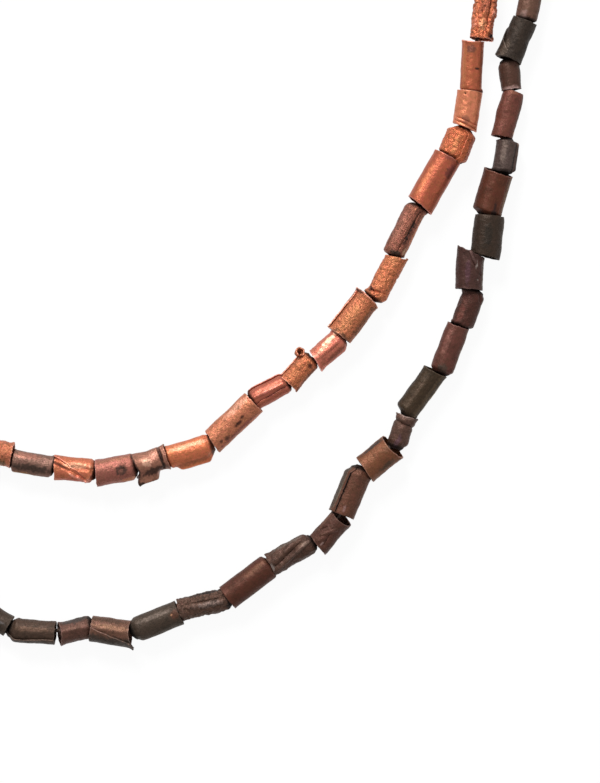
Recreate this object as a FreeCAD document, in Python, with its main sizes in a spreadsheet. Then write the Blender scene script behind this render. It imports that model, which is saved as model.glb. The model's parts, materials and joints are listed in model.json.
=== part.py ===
"""Two-strand necklace of rolled copper-sheet beads, laid flat and closed, in millimetres.

+Z is up, the clasp is at the +Y end, and the origin is under the middle of the necklace.
The inner strand has bright beads and the outer strand has dark ones. Each bead is a strip of
sheet rolled into a tube that laps over itself, and it hangs loosely on its strand's cord.
"""
import FreeCAD, Part
import math
import os

import Sketcher
from FreeCAD import Placement, Rotation, Vector

UP = Vector(0, 0, 1)

# ---------------------------------------------------------------- driving dimensions
GENERAL_SIZES = {
    "sheet_wall": 0.3,            # thickness of the copper sheet
    "lap_angle": 55,              # how far a bead's sheet laps over itself, degrees
    "bead_clearance": 0.1,        # free play between the ends of two beads
    "cord_diameter": 0.7,
    "bend_share": 0.45,           # part of a run that the arc at its end may use
    "inner_start_x": -17.5,       # where each named row begins, from the middle of the
    "inner_start_y": 33.3,        # necklace and from the lowest line of the outer guide
    "outer_start_x": -17.5,
    "outer_start_y": 7.3,
    "half_width": 77.2,           # guide of the outer strand: half its greatest width,
    "widest_y": 123.0,            # the height of the greatest width,
    "drop": 120.3,                # its depth below that line
    "rise": 61.6,                 # and its height above it
    "side_clearance": 3.1,        # free space between the two rows of beads at the sides
    "clasp_clearance": 0.3,       # and beside the clasp
    "front_spacing": 26.8,        # between the lowest points of the two guides
    "blend_length": 60.0,         # over which an unnamed row runs into its guide
    "back_pitch": 7.4,            # cord taken up by one bead of the unnamed rows
    "back_sway": 0.45,            # how far those beads wander off the guide
    "bare_cord": 9.0,             # cord left free beside the clasp
    "cord_lead": 3.5,             # part of it that runs straight out of the cord end
    "clasp_gap": 6.6,             # clasp centre to each cord end
    "cord_end_length": 6.0,
    "cord_end_margin": 1.6,       # metal of a cord end outside its cords
    "cord_end_corner": 0.8,
    "cord_fit": 0.03,             # play of a cord in its socket
    "cord_socket_depth": 4.0,
    "ring_radius": 5.0,           # toggle ring, to the middle of its wire
    "ring_wire": 1.5,
    "ring_tail_wire": 1.1,
    "tail_cover": 0.1,            # metal of the cord end over the ring's tail
    "tail_depth": 3.0,            # how deep the ring's tail and the tongue sit in the ends
    "bar_length": 14.4,
    "bar_wire": 1.5,
    "bar_lift": 0.12,             # gap between the ring and the bar lying on it
    "ring_lift": 0.25,            # gap between the tongue and the ring over it
    "post_diameter": 1.2,
    "post_fit": 0.06,             # radial play of the post in the tongue's hole
    "tongue_width": 3.6,
    "tongue_wall": 0.8,
    "rivet_diameter": 2.2,
    "rivet_head": 0.4,
    "rivet_play": 0.08,           # gap between the rivet's head and the tongue
    "rivet_lift": 0.07,           # gap between the rivet's head and the ground
}

# One line for each named bead, in order along its cord from the lower left to the upper right:
# length, width, heading, tilt on the cord, shift to the left of the cord, seam, end slant, flap.
# Angles are in degrees. The heading is the cord's, counted from +X, and the seam is counted
# from straight up. A flap is the part of the sheet that stands off along the seam.
BEAD_COLUMNS = ("length", "width", "heading", "tilt", "shift", "seam", "slant", "flap")
INNER_BEADS = (
    (6.6, 3.8, -13.3, 3.5, 0.0, 40, 0, 0.0),
    (6.8, 3.7, -13.0, 3.5, 0.0, -60, 0, 0.0),
    (6.4, 4.0, -6.2, 2.0, 0.0, 20, 12, 0.0),
    (6.1, 4.3, 7.2, 2.7, 0.0, -40, 0, 0.0),
    (5.4, 4.5, 16.3, 1.1, 0.0, -75, 0, 1.8),
    (6.9, 3.8, 16.6, 0.0, 0.0, -80, 0, 0.5),
    (9.1, 4.0, 45.0, -0.7, 0.0, 60, -14, 0.0),
    (5.6, 3.4, 28.2, 0.0, 0.0, 5, 0, 0.0),
    (4.9, 3.7, 42.0, 6.7, 0.0, 70, 0, 0.8),
    (5.7, 3.7, 39.5, 2.0, 0.0, 85, 0, 0.0),
    (7.8, 4.5, 51.9, 1.7, 0.0, 80, 0, 1.0),
    (7.5, 3.3, 60.4, 2.5, 0.0, -30, 0, 0.0),
    (8.8, 3.7, 64.9, -0.5, 0.0, -25, 0, 0.0),
    (9.5, 4.5, 57.1, 2.9, 0.0, -70, 0, 0.0),
    (4.5, 4.3, 62.3, 5.5, 0.0, -35, 0, 0.0),
    (6.2, 3.8, 80.9, 1.8, 0.0, 50, -16, 0.0),
    (8.5, 3.4, 82.9, 3.9, 0.0, 75, 0, 0.0),
    (7.2, 3.7, 78.3, 4.3, 0.0, -50, 0, 0.0),
)
OUTER_BEADS = (
    (6.4, 3.7, -32.2, 2.2, 0.0, 60, 0, 0.0),
    (6.9, 3.7, -7.9, 4.0, 0.0, -20, 0, 0.0),
    (5.0, 3.8, 9.6, 4.2, 0.0, -70, 10, 0.0),
    (5.8, 4.2, -6.8, -1.3, 0.0, -65, 0, 1.2),
    (7.4, 3.8, 24.8, -2.6, 0.0, 55, 0, 0.0),
    (7.7, 3.4, 15.0, -1.6, 0.0, 25, 0, 0.0),
    (8.3, 3.9, 37.5, -0.4, 0.0, -75, 0, 0.0),
    (7.4, 3.7, 26.6, 3.9, 0.0, 15, 0, 0.0),
    (6.1, 4.0, 44.5, 4.3, 0.0, -60, 14, 0.0),
    (6.8, 4.3, 65.3, 2.5, 0.0, 70, 0, 0.9),
    (5.2, 4.6, 36.4, 3.6, 0.0, -80, 0, 0.0),
    (4.6, 3.3, 72.6, -2.1, 0.0, 45, -18, 0.0),
    (8.3, 4.0, 52.1, 1.9, 0.0, 30, 0, 0.0),
    (8.2, 3.6, 65.6, 4.0, 0.0, -70, 0, 0.0),
    (5.5, 3.5, 71.1, -1.1, 0.0, -45, 0, 0.0),
    (5.9, 4.5, 79.7, 6.0, 0.8, -35, 12, 0.0),
    (5.9, 4.9, 76.7, 7.0, -0.7, 80, 0, 0.0),
    (7.0, 4.6, 73.4, 0.6, 0.0, 70, 0, 0.0),
    (5.2, 3.6, 82.7, -1.3, -0.4, -55, 0, 0.0),
    (7.6, 3.5, 80.0, -4.5, 0.0, -65, 0, 0.0),
    (3.9, 3.3, 98.8, -2.2, 0.0, 40, 0, 0.0),
    (6.6, 4.3, 68.0, -0.5, 0.0, 50, 15, 0.0),
    (7.0, 3.7, 78.7, 0.0, 0.0, -30, 0, 0.0),
)
STRANDS = {"inner": INNER_BEADS, "outer": OUTER_BEADS}
# The unnamed rows are kept in groups of this many beads at most.
GROUP_SIZE = {"inner": 9, "outer": 8}
FLAP_INSET = 0.9   # a flap stops this short of both ends of its bead

# How the unnamed rows vary from bead to bead: each wave has a height and a step per bead.
PITCH_WAVE = (0.14, 2.3)                # of the place along the guide, in shares of a pitch
SWAY_WAVES = ((1.0, 2.9), (0.6, 1.1))   # of the place beside the guide, in shares of back_sway
SEAM_WAVE = (70, 1.7)                   # of the seam's angle, in degrees
ROW_STRIDE = 5                          # they repeat every fifth named bead, by its width
GUIDE_STEPS = 2000                      # short straight steps along half a guide


def widest(strand):
    """Expression for the greatest width of a strand's named beads."""
    count = len(STRANDS[strand])
    names = [f"Sizes.{strand}_bead_{number:02d}_width" for number in range(1, count + 1)]
    return f"max({'; '.join(names)})"


# Sizes that follow from other sizes, as expressions.
TWO_ROWS = f"(({widest('inner')} + {widest('outer')}) / 2 + 2 * Sizes.sheet_wall)"
SIDE_SPACING = f"({TWO_ROWS} + Sizes.side_clearance)"
CLASP_SPACING = f"({TWO_ROWS} + Sizes.clasp_clearance)"
TONGUE_HEIGHT = "(Sizes.rivet_lift + Sizes.rivet_head + Sizes.rivet_play)"
RING_HEIGHT = f"({TONGUE_HEIGHT} + Sizes.tongue_wall + Sizes.ring_lift + Sizes.ring_wire / 2)"
CORD_END_HEIGHT = f"({RING_HEIGHT} + Sizes.ring_tail_wire / 2 + Sizes.tail_cover)"


def add_sizes(doc):
    """Put every driving dimension in the spreadsheet, each with its alias."""
    sheet = doc.addObject("Spreadsheet::Sheet", "Sizes")
    values = dict(GENERAL_SIZES)
    for strand, beads in STRANDS.items():
        for number, bead in enumerate(beads, start=1):
            for column, value in zip(BEAD_COLUMNS, bead):
                values[f"{strand}_bead_{number:02d}_{column}"] = value
    for row, (alias, value) in enumerate(values.items(), start=1):
        sheet.set(f"A{row}", alias)
        sheet.set(f"B{row}", str(value))
        sheet.setAlias(f"B{row}", alias)
    doc.recompute()
    return sheet


# ---------------------------------------------------------------- layout of the strands
class Bead:
    """Size and place of one bead: start is the middle of its first end, direction its axis,
    and reach how far it stands out from the cord when it spins."""

    def __init__(self, length, width, seam, reach):
        self.length = length
        self.width = width
        self.seam = seam
        self.reach = reach
        self.start = None
        self.direction = None


def flat_direction(degrees):
    angle = math.radians(degrees)
    return Vector(math.cos(angle), math.sin(angle), 0)


def left_of(direction):
    return UP.cross(direction)


def half_turn(first, second):
    return first.getAngle(second) / 2


def end_gap(reach, turn_half, clearance):
    """Cord between a bead's end and the bend, so that the bead can spin past its neighbour."""
    return reach * math.tan(turn_half) + clearance / 2 / math.cos(turn_half)


def named_row(sheet, strand):
    """Lay the named beads out one after another. Returns the beads and the bends between."""
    wall = sheet.get("sheet_wall")
    clearance = sheet.get("bead_clearance")
    rows = []
    for number in range(1, len(STRANDS[strand]) + 1):
        prefix = f"{strand}_bead_{number:02d}_"
        rows.append({column: sheet.get(prefix + column) for column in BEAD_COLUMNS})
    axes = [flat_direction(row["heading"] + row["tilt"]) for row in rows]
    bend = Vector(sheet.get(f"{strand}_start_x"), sheet.get(f"{strand}_start_y"), 0)
    beads = []
    bends = [bend]
    for index, row in enumerate(rows):
        swing = row["length"] / 2 * abs(math.sin(math.radians(row["tilt"])))
        reach = row["width"] / 2 + wall + abs(row["shift"]) + swing
        before = axes[max(index - 1, 0)]
        after = axes[min(index + 1, len(rows) - 1)]
        gap_before = end_gap(reach, half_turn(before, axes[index]), clearance)
        gap_after = end_gap(reach, half_turn(axes[index], after), clearance)
        cord = flat_direction(row["heading"])
        middle = bend + cord * (gap_before + row["length"] / 2)
        middle += left_of(cord) * row["shift"]
        bead = Bead(row["length"], row["width"], row["seam"], reach)
        bead.start = middle - axes[index] * (row["length"] / 2) + UP * (row["width"] / 2)
        bead.direction = axes[index]
        beads.append(bead)
        bend = bend + cord * (gap_before + row["length"] + gap_after)
        bends.append(bend)
    return beads, bends


class Guide:
    """Egg-shaped line that a strand's unnamed beads follow, round to the clasp."""

    def __init__(self, sheet, strand):
        self.half_width = sheet.get("half_width")
        self.widest_y = sheet.get("widest_y")
        self.drop = sheet.get("drop")
        self.rise = sheet.get("rise")
        self.blend = sheet.get("blend_length")
        if strand == "inner":
            self.half_width -= sheet.evalExpression(SIDE_SPACING)
            self.drop -= sheet.get("front_spacing")
            self.rise -= sheet.evalExpression(CLASP_SPACING)
        self.top = self.widest_y + self.rise

    def point(self, turn):
        """turn is 0 at the lowest point, growing to the right, and half a turn at the clasp."""
        height = -math.cos(turn)
        reach = height * (self.drop if height < 0 else self.rise)
        return Vector(self.half_width * math.sin(turn), self.widest_y + reach, 0)

    def stretch(self, start, cord_end):
        """Points close together from start to the cord end's mouth. The line leaves start
        beside the guide and runs into it over the blend length."""
        side = 1 if cord_end.x > 0 else -1
        turns = [side * math.pi * step / GUIDE_STEPS for step in range(GUIDE_STEPS + 1)]
        half = [self.point(turn) for turn in turns]
        gaps = [(point - start).Length for point in half]
        nearest = gaps.index(min(gaps))
        shift = start - half[nearest]
        points = [start]
        gone = 0
        for before, point in zip(half[nearest:], half[nearest + 1:]):
            gone += (point - before).Length
            left = max(0, 1 - gone / self.blend)
            if point.x * side > cord_end.x * side:
                points.append(point + shift * left * left * (3 - 2 * left))
        return points + [cord_end]


def length_of(points):
    return sum((after - before).Length for before, after in zip(points, points[1:]))


def point_along(points, distance):
    """Point at a distance along a line of points, and the line's direction there."""
    for before, after in zip(points, points[1:]):
        step = (after - before).Length
        if distance <= step:
            direction = (after - before).normalize()
            return before + direction * distance, direction
        distance -= step
    return points[-1], (points[-1] - points[-2]).normalize()


def waves(parts, index):
    return sum(height * math.sin(step * index) for height, step in parts)


def back_row(sheet, strand, guide, start, last_named, side):
    """Fill the guide between the named beads and the clasp. Returns beads and bends.

    The named bead at the end of its row lies close to the bend, so the first bead here keeps
    far enough from the bend for both of them."""
    wall = sheet.get("sheet_wall")
    clearance = sheet.get("bead_clearance")
    mouth = sheet.get("clasp_gap") + sheet.get("cord_end_length")
    line = guide.stretch(start, Vector(side * mouth, guide.top, 0))
    beaded = length_of(line) - sheet.get("bare_cord")
    count = round(beaded / sheet.get("back_pitch"))
    named = len(STRANDS[strand])
    widths = [sheet.get(f"{strand}_bead_{number:02d}_width") for number in range(1, named + 1)]
    bends = [start]
    for index in range(1, count + 1):
        last = index == count
        uneven = 0 if last else waves([PITCH_WAVE], index)
        sway = 0 if last else sheet.get("back_sway") * waves(SWAY_WAVES, index)
        point, direction = point_along(line, beaded * (index + uneven) / count)
        bends.append(point + left_of(direction) * sway)
    axes = [(after - before).normalize() for before, after in zip(bends, bends[1:])]
    neighbours = [last_named.direction * side] + axes + [axes[-1]]
    beads = []
    for index in range(count):
        width = widths[(index * ROW_STRIDE + ROW_STRIDE // 2 + 1) % named]
        reach = width / 2 + wall
        axis = axes[index]
        turn_before = half_turn(neighbours[index], axis)
        gap_before = end_gap(reach, turn_before, clearance)
        if index == 0:
            gap_before = end_gap(max(reach, last_named.reach), 2 * turn_before, clearance)
        gap_after = end_gap(reach, half_turn(axis, neighbours[index + 2]), clearance)
        room = (bends[index + 1] - bends[index]).Length
        seam = waves([SEAM_WAVE], index)
        bead = Bead(room - gap_before - gap_after, width, seam, reach)
        bead.start = bends[index] + axis * gap_before + UP * (width / 2)
        bead.direction = axis
        beads.append(bead)
    return beads, bends


def lay_out_strand(sheet, strand):
    """The strand's beads, row by row, and the route of its cord from left to right."""
    guide = Guide(sheet, strand)
    named, bends = named_row(sheet, strand)
    left, left_bends = back_row(sheet, strand, guide, bends[0], named[0], -1)
    right, right_bends = back_row(sheet, strand, guide, bends[-1], named[-1], 1)
    order = left[::-1] + named + right
    route = left_bends[::-1] + bends[1:-1] + right_bends
    height = [bead.width / 2 for bead in order]
    height = [height[0]] + height + [height[-1]]
    for index, point in enumerate(route):
        point.z = (height[index] + height[index + 1]) / 2
    middle = sheet.evalExpression(CORD_END_HEIGHT) / 2
    mouth = sheet.get("clasp_gap") + sheet.get("cord_end_length")
    inside = mouth - sheet.get("cord_socket_depth")
    outside = mouth + sheet.get("cord_lead")
    left_lead = [Vector(-inside, guide.top, middle), Vector(-outside, guide.top, middle)]
    right_lead = [Vector(outside, guide.top, middle), Vector(inside, guide.top, middle)]
    route = left_lead + route + right_lead
    return {"named": named, "left": left, "right": right, "route": route}


# ---------------------------------------------------------------- beads
def origin_plane(body, role):
    for feature in body.Origin.OriginFeatures:
        if feature.Role == role:
            return feature
    raise ValueError(role)


def add_sketch(body, name, role):
    sketch = body.newObject("Sketcher::SketchObject", name)
    sketch.AttachmentSupport = [(origin_plane(body, role), "")]
    sketch.MapMode = "FlatFace"
    return sketch


def name_constraint(sketch, name, expression, *definition):
    """Add a dimension to the sketch and bind it to the spreadsheet."""
    index = sketch.addConstraint(Sketcher.Constraint(*definition))
    sketch.renameConstraint(index, name)
    sketch.setExpression(f"Constraints.{name}", expression)


def add_pad(body, name, sketch, expression, length):
    pad = body.newObject("PartDesign::Pad", name)
    pad.Profile = sketch
    pad.Length = length
    pad.setExpression("Length", expression)
    return pad


def draw_tube(sketch, outer, inner, prefix):
    """Two rings round the axis: the outside and the inside of the rolled sheet."""
    for radius, name in ((outer, "outer_radius"), (inner, "inner_radius")):
        edge = sketch.addGeometry(Part.Circle(Vector(), UP, radius), False)
        sketch.addConstraint(Sketcher.Constraint("Coincident", edge, 3, -1, 1))
        wall = "" if name == "outer_radius" else " - Sizes.sheet_wall"
        name_constraint(sketch, name, f"Sizes.{prefix}width / 2{wall}", "Radius", edge, radius)


def draw_lap(sketch, radius, wall, lap, prefix):
    """The strip of sheet that lies on top of the tube, from straight up to the lap angle."""
    inner = radius - wall / 2
    outer = radius + wall
    start = math.pi / 2
    end = start + math.radians(lap)
    arcs = []
    for size in (inner, outer):
        arcs.append(sketch.addGeometry(Part.ArcOfCircle(Part.Circle(Vector(), UP, size), start, end)))
    lines = []
    for angle in (start, end):
        ray = Vector(math.cos(angle), math.sin(angle), 0)
        lines.append(sketch.addGeometry(Part.LineSegment(ray * inner, ray * outer)))
    for arc in arcs:
        sketch.addConstraint(Sketcher.Constraint("Coincident", arc, 3, -1, 1))
    for line, arc_end in zip(lines, (1, 2)):
        sketch.addConstraint(Sketcher.Constraint("Coincident", line, 1, arcs[0], arc_end))
        sketch.addConstraint(Sketcher.Constraint("Coincident", line, 2, arcs[1], arc_end))
    sketch.addConstraint(Sketcher.Constraint("Vertical", lines[0]))
    sketch.addConstraint(Sketcher.Constraint("PointOnObject", lines[0], 1, -2))
    sketch.addConstraint(Sketcher.Constraint("PointOnObject", -1, 1, lines[1]))
    name_constraint(sketch, "lap_angle", "Sizes.lap_angle * 1 deg",
                    "Angle", lines[0], 1, lines[1], 1, math.radians(lap))
    width = f"Sizes.{prefix}width / 2"
    name_constraint(sketch, "lap_inside", f"{width} - Sizes.sheet_wall / 2", "Radius", arcs[0], inner)
    name_constraint(sketch, "lap_outside", f"{width} + Sizes.sheet_wall", "Radius", arcs[1], outer)


def draw_box(sketch, left, bottom, right, top, expressions):
    """A rectangle. expressions gives the bindings of its left, bottom, width and height."""
    corners = [Vector(left, bottom, 0), Vector(right, bottom, 0)]
    corners += [Vector(right, top, 0), Vector(left, top, 0)]
    lines = []
    for first, second in zip(corners, corners[1:] + corners[:1]):
        lines.append(sketch.addGeometry(Part.LineSegment(first, second)))
    for line, following in zip(lines, lines[1:] + lines[:1]):
        sketch.addConstraint(Sketcher.Constraint("Coincident", line, 2, following, 1))
    for line, kind in zip(lines, ("Horizontal", "Vertical", "Horizontal", "Vertical")):
        sketch.addConstraint(Sketcher.Constraint(kind, line))
    name_constraint(sketch, "from_left", expressions[0], "DistanceX", -1, 1, lines[0], 1, left)
    name_constraint(sketch, "from_bottom", expressions[1], "DistanceY", -1, 1, lines[0], 1, bottom)
    name_constraint(sketch, "across", expressions[2], "DistanceX", lines[0], 1, lines[0], 2, right - left)
    name_constraint(sketch, "upright", expressions[3], "DistanceY", lines[1], 1, lines[1], 2, top - bottom)


def turn_sketch(sketch, prefix):
    """Turn a sketch about the bead's axis to where the bead's seam is."""
    sketch.AttachmentOffset = Placement(Vector(), Rotation(UP, 1))
    sketch.setExpression("AttachmentOffset.Rotation.Angle", f"Sizes.{prefix}seam * 1 deg")


def add_slant(body, sheet, prefix):
    """Cut the far end of a bead at an angle, deeper on the side that the slant's sign gives."""
    slant = sheet.get(prefix + "slant")
    if slant == 0:
        return
    side = 1 if slant > 0 else -1
    length = sheet.get(prefix + "length")
    half = sheet.get(prefix + "width") / 2 + 2 * sheet.get("sheet_wall")
    depth = 2 * half * math.tan(math.radians(abs(slant)))
    sketch = add_sketch(body, "slant_sketch", "XZ_Plane")
    near = Vector(side * half, length, 0)
    far = Vector(-side * half, length, 0)
    deep = Vector(side * half, length - depth, 0)
    lines = []
    for first, second in ((near, far), (far, deep), (deep, near)):
        lines.append(sketch.addGeometry(Part.LineSegment(first, second)))
    for line, following in zip(lines, lines[1:] + lines[:1]):
        sketch.addConstraint(Sketcher.Constraint("Coincident", line, 2, following, 1))
    sketch.addConstraint(Sketcher.Constraint("Horizontal", lines[0]))
    sketch.addConstraint(Sketcher.Constraint("Vertical", lines[2]))
    reach = f"(Sizes.{prefix}width / 2 + 2 * Sizes.sheet_wall)"
    name_constraint(sketch, "end_height", f"Sizes.{prefix}length", "DistanceY", -1, 1, lines[0], 1, length)
    if side > 0:
        name_constraint(sketch, "reach", reach, "DistanceX", -1, 1, lines[0], 1, half)
        name_constraint(sketch, "across", f"2 * {reach}", "DistanceX", lines[0], 2, lines[0], 1, 2 * half)
    else:
        name_constraint(sketch, "reach", reach, "DistanceX", lines[0], 1, -1, 1, half)
        name_constraint(sketch, "across", f"2 * {reach}", "DistanceX", lines[0], 1, lines[0], 2, 2 * half)
    name_constraint(sketch, "depth", f"2 * {reach} * tan(abs(Sizes.{prefix}slant) * 1 deg)",
                    "DistanceY", lines[2], 1, lines[2], 2, depth)
    cut = body.newObject("PartDesign::Pocket", "slant_cut")
    cut.Profile = sketch
    cut.Type = "ThroughAll"
    cut.Midplane = True


def make_bead(doc, sheet, label, bead):
    """A rolled bead of its own: the tube, its lap, a flap on some, and a slanted end on some."""
    prefix = label + "_"
    wall = sheet.get("sheet_wall")
    radius = bead.width / 2
    flap = sheet.get(prefix + "flap")
    body = doc.addObject("PartDesign::Body", label)
    body.Label = label
    tube_sketch = add_sketch(body, "tube_sketch", "XY_Plane")
    draw_tube(tube_sketch, radius, radius - wall, prefix)
    add_pad(body, "tube", tube_sketch, f"Sizes.{prefix}length", bead.length)
    lap_sketch = add_sketch(body, "lap_sketch", "XY_Plane")
    turn_sketch(lap_sketch, prefix)
    draw_lap(lap_sketch, radius, wall, sheet.get("lap_angle"), prefix)
    add_pad(body, "lap", lap_sketch, f"Sizes.{prefix}length", bead.length)
    if flap > 0:
        flap_sketch = add_sketch(body, "flap_sketch", "XY_Plane")
        turn_sketch(flap_sketch, prefix)
        outside = f"Sizes.{prefix}width / 2"
        draw_box(flap_sketch, -wall, radius, flap, radius + wall,
                 ("0 - Sizes.sheet_wall", outside, f"Sizes.{prefix}flap + Sizes.sheet_wall",
                  "Sizes.sheet_wall"))
        flap_sketch.AttachmentOffset.Base.z = FLAP_INSET
        add_pad(body, "flap", flap_sketch, f"Sizes.{prefix}length - {2 * FLAP_INSET}",
                bead.length - 2 * FLAP_INSET)
    add_slant(body, sheet, prefix)
    body.Placement = bead_placement(bead)
    return body


def bead_placement(bead):
    """Turn a bead's own axis, +Z, to its direction, with its own +Y straight up."""
    side = UP.cross(bead.direction)
    return Placement(bead.start, Rotation(side, UP, bead.direction, "ZXY"))


def rolled_tube(bead, wall, lap):
    """The same rolled bead for the unnamed rows, made as one shape."""
    radius = bead.width / 2
    outer = Part.makeCylinder(radius, bead.length)
    hollow = Part.makeCylinder(radius - wall, bead.length)
    strip = Part.makeCylinder(radius + wall, bead.length, Vector(), UP, lap)
    strip.rotate(Vector(), UP, 90 + bead.seam)
    tube = outer.fuse(strip).cut(hollow).removeSplitter()
    tube.Placement = bead_placement(bead)
    return tube.Solids[0]


def make_group(doc, sheet, label, beads):
    """A run of unnamed beads in one node, each bead its own solid."""
    wall = sheet.get("sheet_wall")
    lap = sheet.get("lap_angle")
    group = doc.addObject("Part::Feature", label)
    group.Label = label
    group.Shape = Part.makeCompound([rolled_tube(bead, wall, lap) for bead in beads])
    return group


# ---------------------------------------------------------------- cords
def cord_path(route, share):
    """Straight runs joined by tangent arcs, each arc as large as its two runs allow."""
    edges = []
    radii = []
    previous = route[0]
    for before, corner, after in zip(route, route[1:], route[2:]):
        come = (corner - before).normalize()
        leave = (after - corner).normalize()
        turn = half_turn(come, leave)
        trim = share * min((corner - before).Length, (after - corner).Length)
        radius = trim / math.tan(turn)
        start = corner - come * trim
        end = corner + leave * trim
        toward = (leave - come).normalize()
        middle = corner + toward * (radius / math.cos(turn) - radius)
        edges.append(Part.LineSegment(previous, start).toShape())
        edges.append(Part.Arc(start, middle, end).toShape())
        radii.append(radius)
        previous = end
    edges.append(Part.LineSegment(previous, route[-1]).toShape())
    return Part.Wire(edges), radii


def make_cord(doc, sheet, label, route):
    radius = sheet.get("cord_diameter") / 2
    path, radii = cord_path(route, sheet.get("bend_share"))
    start = route[0]
    section = Part.Wire(Part.makeCircle(radius, start, route[1] - start))
    cord = doc.addObject("Part::Feature", label)
    cord.Label = label
    cord.Shape = path.makePipeShell([section], True, False)
    expected = math.pi * radius ** 2 * path.Length
    print(f"{label}: length {path.Length:.1f} mm, smallest bend radius {min(radii):.1f} mm,",
          f"volume {cord.Shape.Volume:.1f} mm3, section times length {expected:.1f} mm3")
    return cord


# ---------------------------------------------------------------- clasp
def add_box(doc, name, sizes, place):
    """A Part::Box. sizes and place are expressions for its three sizes and its corner."""
    box = doc.addObject("Part::Box", name)
    for size, expression in zip(("Length", "Width", "Height"), sizes):
        box.setExpression(size, expression)
    for axis, expression in zip("xyz", place):
        box.setExpression(f"Placement.Base.{axis}", expression)
    return box


def add_rod(doc, name, radius, length, place, axis):
    """A Part::Cylinder from place along an axis, sized and placed by expressions."""
    rod = doc.addObject("Part::Cylinder", name)
    rod.setExpression("Radius", radius)
    rod.setExpression("Height", length)
    rod.Placement = Placement(Vector(), Rotation(UP, axis))
    for letter, expression in zip("xyz", place):
        rod.setExpression(f"Placement.Base.{letter}", expression)
    return rod


def join(doc, label, kind, parts):
    """Fuse or cut parts into the sub-part that carries the label."""
    result = doc.addObject(kind, label)
    result.Label = label
    if kind == "Part::Cut":
        result.Base, result.Tool = parts
    else:
        result.Shapes = parts
    return result


def make_cord_end(doc, side):
    """Folded sheet pressed flat round the ends of both cords, beside the clasp."""
    label = f"{side}_cord_end"
    out = 1 if side == "right" else -1
    width = f"({CLASP_SPACING} + Sizes.cord_diameter + 2 * Sizes.cord_end_margin)"
    inner_face = "Sizes.clasp_gap"
    mouth = "(Sizes.clasp_gap + Sizes.cord_end_length)"
    corner_x = inner_face if out > 0 else f"0 - {mouth}"
    block = add_box(doc, f"{side}_end_block", ("Sizes.cord_end_length", width, CORD_END_HEIGHT),
                    (corner_x, f"0 - {width} / 2", "0"))
    doc.recompute()
    rounded = doc.addObject("Part::Fillet", f"{side}_end_rounded")
    rounded.Base = block
    corner = doc.Sizes.get("cord_end_corner")
    along = [number for number, edge in enumerate(block.Shape.Edges, start=1)
             if abs(edge.tangentAt(edge.FirstParameter).x) > 0.9]
    rounded.Edges = [(number, corner, corner) for number in along]
    holes = []
    for strand, sign in (("inner", "0 - "), ("outer", "")):
        start_x = f"{out} * {mouth}"
        holes.append(add_rod(doc, f"{side}_{strand}_socket", "Sizes.cord_diameter / 2 + Sizes.cord_fit",
                             "Sizes.cord_socket_depth",
                             (start_x, f"{sign}{CLASP_SPACING} / 2", f"{CORD_END_HEIGHT} / 2"),
                             Vector(-out, 0, 0)))
    if side == "right":
        holes.append(add_rod(doc, "ring_tail_socket", "Sizes.ring_tail_wire / 2", "Sizes.tail_depth",
                             (inner_face, "0", RING_HEIGHT), Vector(1, 0, 0)))
    else:
        holes.append(add_box(doc, "tongue_slot",
                             ("Sizes.tail_depth", "Sizes.tongue_width", "Sizes.tongue_wall"),
                             (f"0 - {inner_face} - Sizes.tail_depth", "0 - Sizes.tongue_width / 2",
                              TONGUE_HEIGHT)))
    hollow = join(doc, f"{side}_end_hollow", "Part::MultiFuse", holes)
    return join(doc, label, "Part::Cut", (rounded, hollow))


def make_toggle_ring(doc):
    """The open ring with a straight tail that sits in the right cord end."""
    loop = doc.addObject("Part::Torus", "ring_loop")
    loop.setExpression("Radius1", "Sizes.ring_radius")
    loop.setExpression("Radius2", "Sizes.ring_wire / 2")
    loop.setExpression("Placement.Base.z", RING_HEIGHT)
    tail = add_rod(doc, "ring_tail", "Sizes.ring_tail_wire / 2",
                   "Sizes.clasp_gap + Sizes.tail_depth - Sizes.ring_radius",
                   ("Sizes.ring_radius", "0", RING_HEIGHT), Vector(1, 0, 0))
    return join(doc, "toggle_ring", "Part::MultiFuse", [loop, tail])


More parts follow.
